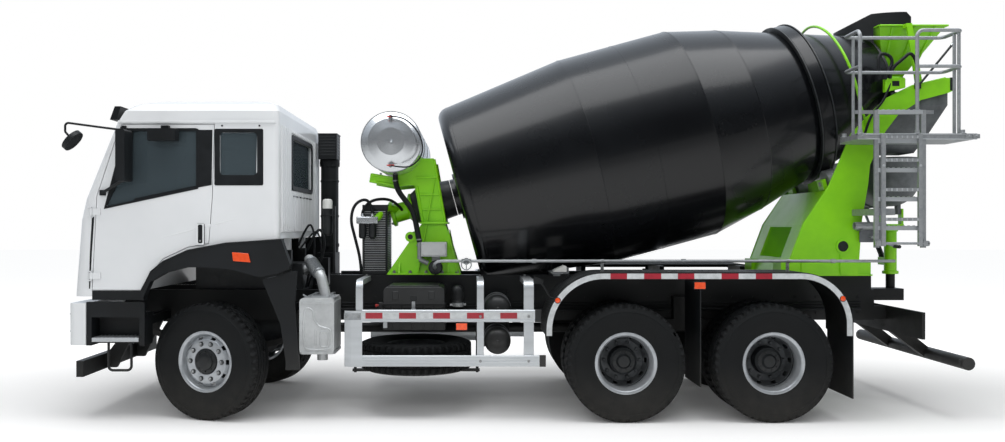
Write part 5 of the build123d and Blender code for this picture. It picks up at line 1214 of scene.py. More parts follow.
for side in (1, -1):
    near, far = sorted((side * 0.368, side * 0.432))
    block(ribs, (-2.176, near, 1.822), (-1.896, far, 1.84))
    near, far = sorted((side * 0.368, side * 0.396))
    for (low_x, low_z), (high_x, high_z) in (((-2.15, 1.84), (-2.04, 2.47)),
            ((-1.925, 1.84), (-1.865, 2.2)), ((-1.69, 2.205), (-1.4, 2.25)),
            ((-1.68, 2.27), (-1.41, 2.318))):
        bar(ribs, (at(low_x), side * 0.372, low_z), (at(high_x), side * 0.372, high_z), 0.014, 8)
    for height, low_x, high_x in ((1.96, -2.13, -1.915), (2.11, -2.1, -1.895), (2.28, -2.07, -1.86)):
        block(ribs, (low_x, near, height), (high_x, far, height + 0.014))
elbow_line = ((-1.64, 0.06, 1.965), (-1.59, 0.15, 1.985), (-1.56, 0.22, 1.99), (-1.5, 0.3, 1.93),
    (-1.47, 0.36, 1.88), (-1.44, 0.384, 1.86))
hose("drive_elbow", elbow_line, 0.034, lime_enamel)
as_piece("pedestal_ribs", ribs, lime_enamel, bevel=0.002)
# The lifting eye's hole: a black disc of painted shade.
as_piece("pedestal_eye_shade", eye_hole_shade, cap_black)
as_piece("pedestal_nuts", seats_on_frame, zinc_nut)

# ---------------------------------------------------------------- water tank and its lines
tank_mid = (-1.655, 2.595)
straps, fittings, taps = bmesh.new(), bmesh.new(), bmesh.new()
for side in (1, -1):
    for reach, wide in ((0.335, 0.06), (0.925, 0.01)):
        low, high = sorted((side * (reach - wide / 2), side * (reach + wide / 2)))
        spun(straps, ((0.2862, low), (0.2895, low), (0.2895, high), (0.2862, high)), 72, closed=True,
            turn=along_line((at(tank_mid[0]), 0, tank_mid[1]), (at(tank_mid[0]), 1, tank_mid[1])))
    for angle in (-60, 240):
        x, z = 0.31 * math.cos(math.radians(angle)), 0.31 * math.sin(math.radians(angle))
        bar(straps, (at(tank_mid[0] + x), side * 0.31, tank_mid[1] + z),
            (at(tank_mid[0] + x), side * 0.36, tank_mid[1] + z), 0.01, 12)
as_piece("tank_straps", straps, galvanised)
# Filler on top, and the two valves of the sight tube on the left end.
spun(fittings, ((0.0, 0.0), (0.062, 0.0), (0.062, 0.03), (0.07, 0.034), (0.07, 0.052), (0.058, 0.06),
    (0.0, 0.064)), 36, turn=Matrix.Translation((at(-1.655), 0.0, 2.87)))
for height, out in ((2.822, 0.955), (2.368, 0.955)):
    bar(fittings, (at(-1.655), out, height), (at(-1.655), 1.0, height), 0.016, 16)
    bar(fittings, (at(-1.655), 0.996, height), (at(-1.655), 1.016, height), 0.022, 6)
as_piece("tank_fittings", fittings, machine_grey)
for height in (2.822, 2.368):
    block(taps, (-1.69, 1.01, height - 0.006), (-1.62, 1.018, height + 0.006))
as_piece("tank_tap_levers", taps, signal_red, bevel=0.002)
lines = (("sight_tube", 0.007, ((-1.655, 1.012, 2.822), (-1.7, 1.018, 2.826), (-1.8, 1.006, 2.8),
    (-1.905, 0.985, 2.7), (-1.962, 0.975, 2.56), (-1.94, 0.985, 2.44), (-1.84, 1.0, 2.35),
    (-1.72, 1.012, 2.352), (-1.655, 1.012, 2.368)), black_rubber),
    ("water_hose", 0.027, ((-1.655, 0.45, 2.31), (-1.655, 0.45, 2.23), (-1.69, 0.47, 2.14),
    (-1.76, 0.5, 2.05), (-1.835, 0.52, 1.95), (-1.862, 0.52, 1.84), (-1.88, 0.52, 1.74),
    (-1.9, 0.52, 1.64)), black_rubber), ("water_pipe", 0.014,
    ((-2.06, 0.6, 1.39), (-2.06, 0.7, 1.39), (-2.06, 0.86, 1.405), (-2.06, 0.985, 1.44), (-2.1, 1.0, 1.471),
    (-2.22, 1.0, 1.471), (-3.64, 1.0, 1.471), (-6.38, 1.0, 1.471)), galvanised),)
for name, radius, points, material in lines:
    hose(name, points, radius, material)
valve, pump, wheel, clamps, elbows = (bmesh.new() for _ in range(5))
block(valve, (-2.17, 0.37, 1.5), (-1.92, 0.612, 1.64))
block(valve, (-2.16, 0.606, 1.512), (-1.93, 0.62, 1.628))
for x, z in ((-2.15, 1.522), (-1.94, 1.522), (-2.15, 1.618), (-1.94, 1.618)):
    bar(valve, (at(x), 0.618, z), (at(x), 0.625, z), 0.007, 12)
block(valve, (-2.1, 0.37, 1.34), (-2.02, 0.48, 1.502))
as_piece("valve_box", valve, pale_grey, bevel=0.005, replaced=("water_lines",))
spun(pump, ((0.0, 0.0), (0.052, 0.0), (0.068, 0.012), (0.07, 0.03), (0.07, 0.09), (0.06, 0.104),
    (0.06, 0.128), (0.04, 0.14), (0.0, 0.14)), 32,
    turn=along_line((at(-2.06), 0.48, 1.39), (at(-2.06), 1, 1.39)))
for step in range(8):
    angle = math.radians(45 * step + 10)
    spot = (at(-2.06) + 0.06 * math.cos(angle), 0.604, 1.39 + 0.06 * math.sin(angle))
    bar(pump, spot, (spot[0], 0.618, spot[2]), 0.006, 6)
bar(pump, (at(-1.985), 0.52, 1.43), (at(-1.9), 0.52, 1.47), 0.022, 20)
as_piece("water_pump", pump, oily_casting)
bar(elbows, (at(-1.9), 0.52, 1.655), (at(-1.9), 0.52, 1.47), 0.022, 20)
spun(elbows, ((0.022, 0.0), (0.032, 0.0), (0.032, 0.016), (0.022, 0.016)), 6, closed=True,
    turn=Matrix.Translation((at(-1.9), 0.52, 1.6)))
bar(elbows, (at(-1.9), 0.52, 1.47), (at(-1.985), 0.52, 1.43), 0.024, 20)
for place in (-3.0, -4.4, -5.8):
    spun(elbows, ((0.0145, -0.02), (0.02, -0.02), (0.02, 0.02), (0.0145, 0.02)), 8, closed=True,
        turn=along_line((at(place), 1.0, 1.471), (at(place - 1), 1.0, 1.471)))
as_piece("pipe_joints", elbows, galvanised)
ring = 0.046
for step in range(24):
    one, two = (2 * math.pi * k / 24 for k in (step, step + 1))
    bar(wheel, (at(-2.365) + ring * math.cos(one), 1.052, 1.438 + ring * math.sin(one)),
        (at(-2.365) + ring * math.cos(two), 1.052, 1.438 + ring * math.sin(two)), 0.006, 8)
for angle in (30, 150, 270):
    bar(wheel, (at(-2.365), 1.052, 1.438), (at(-2.365) + ring * math.cos(math.radians(angle)), 1.052,
        1.438 + ring * math.sin(math.radians(angle))), 0.005, 8)
bar(wheel, (at(-2.365), 1.06, 1.438), (at(-2.365), 1.012, 1.455), 0.008, 12)
as_piece("stop_wheel", wheel, galvanised)
shape = bmesh.new()
spun(shape, ((0.0, -0.045), (0.02, -0.045), (0.022, -0.02), (0.03, -0.01), (0.03, 0.01), (0.022, 0.02),
    (0.02, 0.045), (0.0, 0.045)), 24, turn=along_line((at(-2.365), 1.0, 1.471), (at(-3.365), 1.0, 1.471)))
as_piece("stop_valve", shape, machine_grey)
for place in (-3.64, -5.38):
    block(clamps, (place - 0.018, 0.976, 1.371), (place + 0.018, 1.0, 1.378))
    block(clamps, (place - 0.015, 0.978, 1.376), (place + 0.015, 0.983, 1.47))
    spun(clamps, ((0.0145, -0.015), (0.018, -0.015), (0.018, 0.015), (0.0145, 0.015)), 24, closed=True,
        turn=along_line((at(place), 1.0, 1.471), (at(place - 1), 1.0, 1.471)))
for point, along in (((-1.655, 0.45, 2.25), (0, 0, -1)), ((-1.8975, 0.52, 1.665), (0.05, 0, 1))):
    spot = Vector((at(point[0]), point[1], point[2]))
    spun(clamps, ((0.0272, -0.007), (0.03, -0.007), (0.03, 0.007), (0.0272, 0.007)), 32, closed=True,
        turn=along_line(spot, spot + Vector(along)))
as_piece("hose_clamps", clamps, zinc_nut)
# ---------------------------------------------------------------- drum
# Weld seams round the drum, the rim of its mouth, the guide of the ring and the inspection hatch.
seams, rims, hatch, hatch_bolts = (bmesh.new() for _ in range(4))
for reach, radius in ((1.336, 1.0855), (1.896, 1.0855), (2.456, 1.0855), (2.964, 0.9655), (0.11, 0.9205)):
    spun(seams, ((radius - 0.003, -0.007), (radius + 0.0012, -0.004), (radius + 0.002, 0.0),
        (radius + 0.0012, 0.004), (radius - 0.003, 0.007)), 120, closed=True, turn=on_drum(reach))
as_piece("drum_seams", seams, drum_enamel, "drum")
spun(rims, ((0.488, 4.428), (0.514, 4.424), (0.517, 4.436), (0.514, 4.447), (0.488, 4.447)), 96,
    closed=True, turn=on_drum(0))
for reach in (3.545, 3.681):
    spun(rims, ((0.78, reach - 0.006), (0.838, reach - 0.006), (0.838, reach + 0.006),
        (0.76, reach + 0.006)), 120, closed=True, turn=on_drum(0))
as_piece("drum_rims", rims, oily_casting, "drum")
hatch_middle = 2.69
hatch_turn = 1.64


def on_shell(reach, turn, out=0.0):
    """Point on the drum behind its middle band, turned about its axis from the top."""
    radius = 1.085 - 0.2362 * max(reach - 2.456, 0)
    away = drum_up * math.cos(turn) + Vector((0, math.sin(turn), 0))
    return drum_foot + drum_way * reach + away * (radius + out)


outline = []
for step in range(28):
    angle = 2 * math.pi * step / 28
    outline.append((0.2 * math.copysign(abs(math.cos(angle)) ** 0.55, math.cos(angle)),
        0.078 * math.copysign(abs(math.sin(angle)) ** 0.55, math.sin(angle))))
for scale, out, depth in ((1.0, 0.001, 0.005), (0.84, 0.005, 0.003)):
    low = [hatch.verts.new(on_shell(hatch_middle + x * scale, hatch_turn + y * scale, out))
        for x, y in outline]
    high = [hatch.verts.new(on_shell(hatch_middle + x * scale * 0.985, hatch_turn + y * scale * 0.985,
        out + depth)) for x, y in outline]
    middle = hatch.verts.new(on_shell(hatch_middle, hatch_turn, out + depth))
    for k in range(28):
        following = (k + 1) % 28
        hatch.faces.new((low[k], low[following], high[following], high[k]))
        hatch.faces.new((high[k], high[following], middle))
for step in range(14):
    x, y = outline[2 * step]
    spot = on_shell(hatch_middle + x * 0.92, hatch_turn + y * 0.92, 0.008)
    nut(hatch_bolts, spot, spot - on_shell(hatch_middle + x * 0.92, hatch_turn + y * 0.92, -0.5), 0.012,
        0.005)
as_piece("drum_hatch", hatch, drum_enamel, "drum")
as_piece("drum_hatch_bolts", hatch_bolts, drum_enamel, "drum")

# Hoop round the mouth, that carries the wash water, on stays from the pedestal's arms.
hoop, stays = bmesh.new(), bmesh.new()
turns = [math.radians(-104 + 208 * step / 36) for step in range(37)]
rim = [drum_foot + drum_way * 3.98 + (drum_up * math.cos(a) + Vector((0, math.sin(a), 0))) * 0.735
    for a in turns]
for one, two in zip(rim, rim[1:]):
    bar(hoop, one, two, 0.013, 10)
as_piece("mouth_hoop", hoop, lime_enamel)
for point, foot in ((rim[0], (-6.3, -0.6, 2.76)), (rim[-1], (-6.3, 0.6, 2.76))):
    bar(stays, point, (at(foot[0]), foot[1], foot[2]), 0.012, 10)
as_piece("hoop_stays", stays, lime_enamel)

# ---------------------------------------------------------------- rear pedestal
plates, ribs, nuts, dark = (bmesh.new() for _ in range(4))
for side in (1, -1):
    near, far = sorted((side * 0.352, side * 0.612))
    block(plates, (-6.345, near, 1.311), (-5.448, far, 1.325))
    for place in (-6.25, -6.02, -5.79, -5.56):
        nut(nuts, (at(place), side * 0.402, 1.443), (0, 0, 1), 0.03, 0.02)
    # Gussets down the outer plate, and the folded edge along its front.
    for outline in (((-5.64, 1.33), (-5.64, 1.48), (-5.7, 1.33)),
            ((-6.02, 1.33), (-6.02, 1.52), (-6.09, 1.33))):
        prism(ribs, [(at(x), side * 0.615, z) for x, z in outline], (0, side * 0.018, 0))
    for one, two in (((-5.478, 1.311), (-5.664, 1.809)), ((-5.664, 1.809), (-5.909, 2.171)),
            ((-5.909, 2.171), (-6.004, 2.387)), ((-6.004, 2.387), (-6.141, 2.71)),
            ((-6.454, 3.033), (-6.728, 3.17)), ((-6.728, 3.17), (-7.06, 3.25))):
        bar(ribs, (at(one[0]), side * 0.606, one[1]), (at(two[0]), side * 0.606, two[1]), 0.01, 10)
    # Round stiffener across the arm, its hole a black disc of painted shade.
    spun(dark, ((0.0, 0.0), (0.052, 0.0), (0.052, 0.003), (0.0, 0.003)), 28,
        turn=along_line((at(-6.05), side * 0.615, 1.6), (at(-6.05), side * 0.7, 1.6)))
    spun(ribs, ((0.052, 0.0), (0.07, 0.0), (0.07, 0.012), (0.052, 0.012)), 32, closed=True,
        turn=along_line((at(-6.05), side * 0.615, 1.6), (at(-6.05), side * 0.7, 1.6)))
as_piece("pedestal_shoes", plates, lime_enamel, bevel=0.002)
as_piece("rear_pedestal_ribs", ribs, lime_enamel)
as_piece("rear_pedestal_nuts", nuts, zinc_nut)
# The holes in the arms' stiffeners: black discs of painted shade.
as_piece("pedestal_hole_shades", dark, cap_black)

bracket, bracket_hole_shade, caps = bmesh.new(), bmesh.new(), bmesh.new()
for side in (1, -1):
    prism(bracket, [(at(x), side * 0.59, z) for x, z in ((-6.451, 3.105), (-6.451, 3.235), (-6.5, 3.25),
        (-6.64, 3.25), (-6.652, 3.235), (-6.652, 3.15))], (0, side * 0.055, 0))
    # Black plate of painted shade where the bracket has a hole.
    block(bracket_hole_shade, (-6.59, side * 0.643, 3.165), (-6.52, side * 0.647, 3.215))
    block(caps, (-7.146, side * 0.58, 3.126), (-7.1, side * 0.62, 3.254))
as_piece("hopper_brackets", bracket, lime_enamel, bevel=0.006)
# The brackets' holes as plates of painted shade.
as_piece("bracket_shade_plates", bracket_hole_shade, cap_black)
as_piece("arm_caps", caps, black_moulding, bevel=0.004)

# Folded flange round the feed hopper's rim, with its ribs.
flange = bmesh.new()
for side in (1, -1):
    bar(flange, (at(-7.146), side * 0.498, 3.79), (at(-6.47), side * 0.498, 3.79), 0.01, 10)
    for place in (-6.6, -6.82, -7.02):
        bar(flange, (at(place), side * 0.482, 3.78), (at(place * 0.75 - 1.66), side * 0.3, 3.45), 0.011, 8)
bar(flange, (at(-7.14), -0.498, 3.79), (at(-7.14), 0.498, 3.79), 0.01, 10)
bar(flange, (at(-7.118), -0.1, 3.77), (at(-6.86), -0.08, 3.36), 0.011, 8)
as_piece("hopper_flange", flange, lime_enamel)

# Wash hoses at the hopper, the grease line and the chute's control rod.
for name, radius, points in (("wash_hose_a", 0.016,
        ((-6.39, 0.66, 3.23), (-6.38, 0.66, 3.33), (-6.389, 0.64, 3.49), (-6.5, 0.64, 3.47),
        (-6.53, 0.64, 3.39), (-6.47, 0.65, 3.3), (-6.45, 0.64, 3.23))),
        ("wash_hose_b", 0.016, ((-6.5, 0.64, 3.24), (-6.5, 0.66, 3.33), (-6.62, 0.66, 3.43),
        (-6.7, 0.65, 3.5), (-6.765, 0.64, 3.4), (-6.775, 0.62, 3.29), (-6.77, 0.612, 3.18))),
        ("wash_hose_c", 0.012, ((-6.24, 0.64, 2.64), (-6.29, 0.65, 2.86), (-6.42, 0.65, 3.0),
        (-6.48, 0.64, 3.12), (-6.52, 0.63, 3.23)))):
    hose(name, points, radius, black_rubber)
lever, tip = bmesh.new(), bmesh.new()
bar(lever, (at(-6.78), 0.64, 3.17), (at(-7.112), 0.64, 3.574), 0.011, 14)
block(lever, (-6.8, 0.612, 3.14), (-6.75, 0.652, 3.2))
bar(tip, (at(-7.1), 0.64, 3.559), (at(-7.128), 0.64, 3.593), 0.015, 16)
as_piece("control_lever", lever, black_moulding)
as_piece("lever_tip", tip, polished_plate)

# ---------------------------------------------------------------- platform and ladder
grating, edge, treads, knees, clips = (bmesh.new() for _ in range(5))
for step in range(25):
    x = -7.02 + 0.043 * step
    block(grating, (x, 0.66 if x < -6.03 else 0.82, 2.636), (x + 0.006, 1.192, 2.646))
for step in range(13):
    y = 0.665 + 0.043 * step
    block(grating, (-7.03, y, 2.637), (-6.02 if y < 0.81 else -5.956, y + 0.004, 2.644))
as_piece("deck_grating", grating, galvanised, flat=True)
for low, high in ((2.592, 2.6), (2.634, 2.646)):
    block(edge, (-7.038, 1.192, low), (-5.949, 1.206, high))
block(edge, (-7.038, 1.192, 2.592), (-5.949, 1.198, 2.646))
for place in (-7.03, -6.96, -6.2, -5.985):
    block(knees, (place - 0.03, 1.196, 2.6), (place + 0.03, 1.212, 2.64))
    nut(knees, (at(place), 1.212, 2.62), (0, 1, 0), 0.017, 0.01)
as_piece("deck_edge", edge, drawn_aluminium, bevel=0.001)
as_piece("deck_knees", knees, galvanised, bevel=0.002)
for height in (2.842, 2.576, 2.311, 2.045, 1.78):
    for step in range(9):
        x = -6.52 + 0.047 * step
        block(treads, (x, 1.168, height + 0.018), (x + 0.012, 1.198, height + 0.025))
    block(treads, (-6.54, 1.198, height - 0.018), (-6.132, 1.204, height + 0.018))
as_piece("fixed_treads", treads, drawn_aluminium, bevel=0.001)
for x, y in ((-5.975, 1.18), (-5.975, 0.83), (-6.915, 0.83), (-6.915, 1.18), (-6.5, 1.18), (-6.06, 0.83)):
    spun(clips, ((0.0175, 0.0), (0.034, 0.0), (0.034, 0.008), (0.022, 0.014), (0.022, 0.04),
        (0.0175, 0.04)), 24, closed=True, turn=Matrix.Translation((at(x), y, 2.641)))
as_piece("rail_feet", clips, galvanised)
treads, pins = bmesh.new(), bmesh.new()
for height in (1.86, 2.13, 2.4, 2.61):
    for step in range(7):
        x = -6.48 + 0.047 * step
        block(treads, (x, 1.24, height - 0.012), (x + 0.012, 1.246, height + 0.012))
for place in (-6.168, -6.504):
    spun(treads, ((0.0, 0.0), (0.013, 0.0), (0.01, 0.006), (0.0, 0.006)), 6,
        turn=along_line((at(place), 1.24, 2.35), (at(place), 1.3, 2.35)))
as_piece("folding_treads", treads, drawn_aluminium, "lower_ladder", bevel=0.001)
for place, way in ((-6.575, -1), (-6.097, 1)):
    bar(pins, (at(place), 1.225, 1.64), (at(place + way * 0.01), 1.225, 1.64), 0.022, 20)
as_piece("ladder_pin_heads", pins, zinc_nut)

# ---------------------------------------------------------------- chute
roll, ribs, latch = bmesh.new(), bmesh.new(), bmesh.new()
wall = 0.275
mid = (-6.8, 0.0)
for step in range(18):
    one, two = (math.radians(10 * k) for k in (step, step + 1))
    bar(roll, (at(mid[0] + wall * math.cos(one)), wall * math.sin(one), 2.494),
        (at(mid[0] + wall * math.cos(two)), wall * math.sin(two), 2.494), 0.012, 10)
for way in (1, -1):
    bar(roll, (at(mid[0] + way * wall), 0.0, 2.494), (at(mid[0] + way * wall), -1.144, 2.494), 0.012, 10)
as_piece("chute_roll", roll, scuffed_grey, "chute")
for y in (-0.3, -0.62, -0.86, -1.1):
    arc = [math.radians(184 + 172 * k / 24) for k in range(25)]
    outer = [(at(mid[0] + (wall + 0.016) * math.cos(a)), y, 2.28 + (wall + 0.016) * math.sin(a))
        for a in arc]
    inner = [(at(mid[0] + (wall + 0.001) * math.cos(a)), y, 2.28 + (wall + 0.001) * math.sin(a))
        for a in reversed(arc)]
    prism(ribs, outer + inner, (0, 0.01, 0))
as_piece("chute_ribs", ribs, scuffed_grey, "chute")
for side in (1, -1):
    block(latch, (mid[0] + side * 0.283 - 0.008, -1.09, 2.33), (mid[0] + side * 0.283 + 0.008, -1.04, 2.4))
    bar(latch, (at(mid[0] + side * 0.292), -1.065, 2.365), (at(mid[0] + side * 0.292), -0.96, 2.3), 0.007,
        10)
as_piece("chute_latches", latch, galvanised, "chute", bevel=0.001)

collar, grease = bmesh.new(), bmesh.new()
spun(collar, ((0.063, 1.3), (0.078, 1.3), (0.08, 1.306), (0.08, 1.33), (0.063, 1.336)), 40, closed=True,
    turn=Matrix.Translation((at(-6.8), 0, 0)))
spun(collar, ((0.063, 1.74), (0.074, 1.744), (0.074, 1.78), (0.063, 1.784)), 40, closed=True,
    turn=Matrix.Translation((at(-6.8), 0, 0)))
as_piece("swivel_collars", collar, lime_enamel, "swivel_arm")
for side in (1, -1):
    spun(grease, ((0.0, 0.0), (0.026, 0.0), (0.026, 0.006), (0.0, 0.006)), 6,
        turn=along_line((at(-6.8 + side * 0.1205), 0, 1.945), (at(-6.8 + side * 0.3), 0, 1.945)))
as_piece("hinge_heads", grease, zinc_nut, "chute")
wiper = bmesh.new()
jack_way = Vector((0, -0.47, 0.53)).normalized()
jack_base = Vector((at(-6.8), -0.15, 1.43))
spun(wiper, ((0.0165, 0.0), (0.031, 0.0), (0.032, 0.01), (0.03, 0.026), (0.0165, 0.026)), 28, closed=True,
    turn=along_line(jack_base + jack_way * 0.404, jack_base + jack_way))
spun(wiper, ((0.0282, 0.0), (0.032, 0.004), (0.032, 0.02), (0.0282, 0.024)), 28, closed=True,
    turn=along_line(jack_base + jack_way * 0.06, jack_base + jack_way))
as_piece("jack_glands", wiper, oily_casting, "jack_cylinder")

# Stowed extension tube and its bracket on the pedestal's left arm, and the crank.
tube, holder, crank, grip = (bmesh.new() for _ in range(4))
spun(tube, ((0.03, 0.0), (0.038, 0.0), (0.038, 0.3), (0.03, 0.3)), 28, closed=True,
    turn=along_line((at(-6.13), 0.69, 1.8), (at(-7.0), 0.69, 1.8)))
as_piece("stowed_tube", tube, galvanised)
prism(holder, [(at(x), 0.64, z) for x, z in ((-6.2, 1.64), (-6.2, 1.762), (-6.44, 1.762), (-6.44, 1.7),
    (-6.38, 1.64))], (0, 0.01, 0))
for place in (-6.19, -6.4):
    block(holder, (place - 0.015, 0.64, 1.752), (place + 0.015, 0.728, 1.762))
block(holder, (-6.245, 0.61, 1.66), (-6.215, 0.645, 1.74))
as_piece("tube_holder", holder, machine_grey, bevel=0.002)
bar(crank, (at(-6.3), 0.65, 1.69), (at(-6.3), 0.705, 1.69), 0.012, 14)
bar(crank, (at(-6.3), 0.698, 1.69), (at(-6.52), 0.698, 1.6), 0.01, 14)
bar(grip, (at(-6.52), 0.69, 1.6), (at(-6.52), 0.8, 1.6), 0.017, 18)
as_piece("crank_arm", crank, galvanised)
as_piece("crank_grip", grip, black_moulding, bevel=0.003)

# ---------------------------------------------------------------- rear end
shells, reds, ambers, clears, plate, ends = (bmesh.new() for _ in range(6))
for side in (1, -1):
    for low, high, lens_shape in ((0.56, 0.7, reds), (0.715, 0.85, ambers), (0.865, 0.95, clears)):
        near, far = sorted((side * (0.15 + low), side * (0.15 + high)))
        block(lens_shape, (-6.612, near, 0.8), (-6.6, far, 0.925))
    near, far = sorted((side * 0.7, side * 1.11))
    block(shells, (-6.604, near, 0.785), (-6.588, far, 0.94))
    near, far = sorted((side * 1.085, side * 1.125))
    block(shells, (-7.05, near, 0.495), (-6.93, far, 0.563))
    block(reds, (-7.055, near + 0.004, 0.505), (-7.048, far - 0.004, 0.553))
    spun(ends, ((0.0, 0.0), (0.056, 0.0), (0.06, -0.006), (0.06, -0.02), (0.0, -0.02)), 40,
        turn=along_line((at(-6.99), side * 1.151, 0.529), (at(-6.99), side * 2, 0.529)))
    for place in (0.36, 0.41):
        for height in (0.6, 0.7):
            nut(ends, (at(-6.56), side * place, height + 0.21), (-1, 0, 0), 0.018, 0.01)
block(plate, (-6.6, -0.26, 0.8), (-6.59, 0.26, 0.92))
as_piece("tail_shells", shells, black_moulding, bevel=0.004)
as_piece("tail_red", reds, red_lens, bevel=0.003)
as_piece("tail_amber", ambers, amber_lens, bevel=0.003)
as_piece("tail_clear", clears, clear_lens, bevel=0.003)
as_piece("rear_blank_plate", plate, white_enamel, bevel=0.002)
as_piece("underrun_ends", ends, black_moulding)

# Bolts along the frame's webs, the brake lines and the cable run.
rows = bmesh.new()
for side in (1, -1):
    for place in [-0.82 - 0.21 * k for k in range(27)]:
        for height in (0.93, 1.09):
            bar(rows, (at(place), side * 0.43, height), (at(place), side * 0.44, height), 0.011, 6)
as_piece("web_bolts", rows, chassis_enamel)
for name, y, z, radius in (("brake_line_a", 0.447, 1.04, 0.007), ("brake_line_b", 0.447, 1.01, 0.007),
        ("cable_run", 0.452, 0.975, 0.014)):
    hose(name, [(x, y, z + drop) for x, drop in ((-0.7, 0.0), (-1.6, -0.012), (-2.7, 0.0), (-3.6, -0.012),
        (-4.6, 0.0), (-5.6, -0.012), (-6.3, 0.0))], radius, black_rubber, sides=3)
# ---------------------------------------------------------------- seats
def pad_form(name, corners, crown):
    """Closed form between two outlines of the same count, crowned on top and pulled in at its sides."""
    shape = bmesh.new()
    rings = [[shape.verts.new(point) for point in ring] for ring in corners]
    for low, high in zip(rings, rings[1:]):
        for k in range(len(low)):
            following = (k + 1) % len(low)
            shape.faces.new((low[k], low[following], high[following], high[k]))
    shape.faces.new(rings[0])
    middle = sum((v.co for v in rings[-1]), Vector()) / len(rings[-1])
    peak = shape.verts.new(middle + Vector(crown))
    for k in range(len(rings[-1])):
        shape.faces.new((rings[-1][k], rings[-1][(k + 1) % len(rings[-1])], peak))
    bmesh.ops.recalc_face_normals(shape, faces=shape.faces)
    mesh = bpy.data.meshes.new(name)
    shape.to_mesh(mesh)
    shape.free()
    pad = bpy.data.objects.new(name, mesh)
    scene.collection.objects.link(pad)
    return pad


def soft_outline(half_long, half_wide, level, power=0.45, count=32):
    """Rounded rectangle about the origin at one level."""
    points = []
    for step in range(count):
        angle = 2 * math.pi * step / count
        points.append((half_long * math.copysign(abs(math.cos(angle)) ** power, math.cos(angle)),
            half_wide * math.copysign(abs(math.sin(angle)) ** power, math.sin(angle)), level))
    return points


def only(pad):
    """Makes a piece the one that the operators act on."""
    for other in bpy.context.selected_objects:
        other.select_set(False)
    bpy.context.view_layer.objects.active = pad
    pad.select_set(True)


def swell(pad, voxel, cap):
    """Fills a form like a sewn pad: remeshed, then blown up by cloth under pressure, kept below the cap."""
    only(pad)
    pad.data.remesh_voxel_size = voxel
    bpy.ops.object.voxel_remesh()
    start = [v.co.copy() for v in pad.data.vertices]
    cloth = pad.modifiers.new("fill", "CLOTH")
    cloth.settings.use_pressure = True
    cloth.settings.uniform_pressure_force = 4
    cloth.settings.effector_weights.gravity = 0
    cloth.settings.quality = 4
    for step in range(1, 21):
        scene.frame_set(step)
    shown = pad.evaluated_get(bpy.context.evaluated_depsgraph_get())
    ended = [v.co.copy() for v in shown.data.vertices]
    pad.modifiers.remove(cloth)
    for vertex, first, last in zip(pad.data.vertices, start, ended):
        move = last - first
        vertex.co = first + (move * (cap / move.length) if move.length > cap else move)
    scene.frame_set(1)


def sewn(pad, seams, depth):
    """Presses sewn channels into a pad: each seam is a distance function of a point, zero on the seam."""
    for vertex in pad.data.vertices:
        near = min(abs(seam(vertex.co)) for seam in seams)
        if near < 0.016:
            way = vertex.normal
            vertex.co = vertex.co - way * depth * (1 - near / 0.016) ** 2


def upholster(pad, name, turn, seams):
    """Finishes one pad: filled, sewn, moved to its place in the cab and hung on the cab's body."""
    swell(pad, 0.006, 0.024)
    sewn(pad, seams, 0.007)
    pad.data.transform(turn)
    for face in pad.data.polygons:
        face.use_smooth = True
    smooth = pad.modifiers.new("smooth", "SUBSURF")
    smooth.levels = smooth.render_levels = 1
    pad.name = name
    pad.data.materials.append(seat_cloth)
    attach(pad, "cab")
    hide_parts("seats")


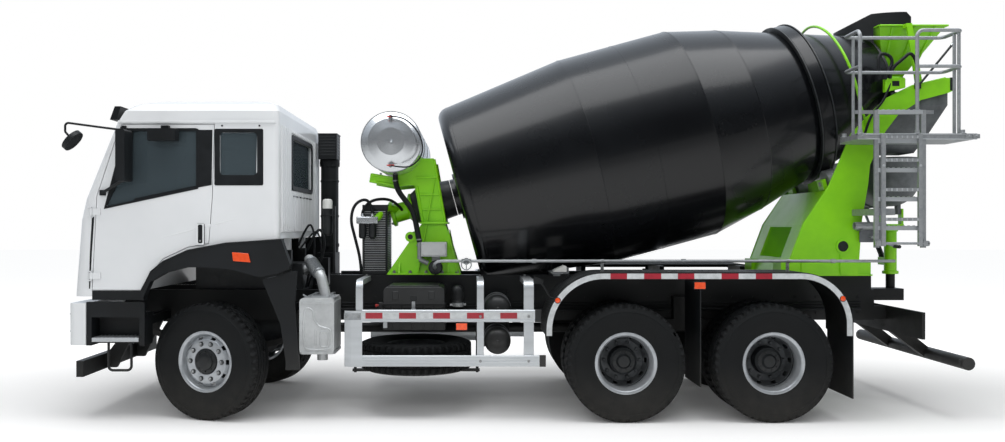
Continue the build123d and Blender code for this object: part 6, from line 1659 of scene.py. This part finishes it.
seat_deck = 1.72
shells, slides = bmesh.new(), bmesh.new()
for side, word in ((1, "left"), (-1, "right")):
    y = 0.55 * side
    # Base pad: flat below, crowned above, its sides pulled in.
    base = pad_form(f"base_{word}", [soft_outline(0.205, 0.2, -0.048), soft_outline(0.228, 0.226, -0.026),
        soft_outline(0.232, 0.23, 0.004), soft_outline(0.216, 0.212, 0.03)], (0.0, 0.0, 0.006))
    upholster(base, f"seat_base_{word}", Matrix.Translation((at(-0.062), y, 1.842)),
        (lambda p: p.y - 0.115, lambda p: p.y + 0.115, lambda p: p.x + 0.1))
    # Back pad, leaning, waisted between the shoulders and the hips.
    rings = []
    for level, wide, thick in ((-0.285, 0.19, 0.03), (-0.262, 0.212, 0.046), (-0.1, 0.208, 0.052),
            (0.06, 0.206, 0.048), (0.22, 0.19, 0.042), (0.272, 0.166, 0.03)):
        rings.append(soft_outline(thick, wide, level, 0.5))
    back = pad_form(f"back_{word}", rings, (0.0, 0.0, 0.004))
    upholster(back, f"seat_back_{word}",
        Matrix.Translation((at(-0.346), y, 2.188)) @ Matrix.Rotation(math.radians(-7.5), 4, "Y"),
        (lambda p: p.y - 0.11, lambda p: p.y + 0.11, lambda p: p.z - 0.06, lambda p: p.z + 0.11))
    rest = pad_form(f"rest_{word}", [soft_outline(0.022, 0.096, -0.058, 0.5),
        soft_outline(0.032, 0.108, -0.035, 0.5), soft_outline(0.032, 0.108, 0.03, 0.5),
        soft_outline(0.022, 0.094, 0.054, 0.5)], (0.0, 0.0, 0.003))
    upholster(rest, f"head_rest_{word}",
        Matrix.Translation((at(-0.392), y, 2.562)) @ Matrix.Rotation(math.radians(-7.5), 4, "Y"),
        (lambda p: p.y - 0.2,))
    for offset in (-0.045, 0.045):
        bar(slides, (at(-0.378), y + offset, 2.44), (at(-0.388), y + offset, 2.53), 0.006, 12)
    # Suspension base, its bellows and the side cover.
    block(shells, (-0.3, y - 0.2, seat_deck), (0.15, y + 0.2, seat_deck + 0.016))
    for step in range(4):
        inset = 0.014 if step % 2 else 0.0
        block(shells, (-0.285 + inset, y - 0.185 + inset, seat_deck + 0.014 + 0.013 * step),
            (0.135 - inset, y + 0.185 - inset, seat_deck + 0.028 + 0.013 * step))
    block(shells, (-0.315, y - 0.215, seat_deck + 0.066), (0.165, y + 0.215, seat_deck + 0.082))
    prism(shells, [(at(x), y + side * 0.236, z)
        for x, z in ((-0.33, 1.79), (0.1, 1.79), (0.13, 1.812), (0.11, 1.836), (-0.25, 1.846), (-0.33, 1.9),
        (-0.372, 1.9), (-0.384, 1.83))], (0, -side * 0.022, 0))
as_piece("seat_shells", shells, black_moulding, "cab", bevel=0.004)
as_piece("head_rest_posts", slides, polished_plate, "cab")
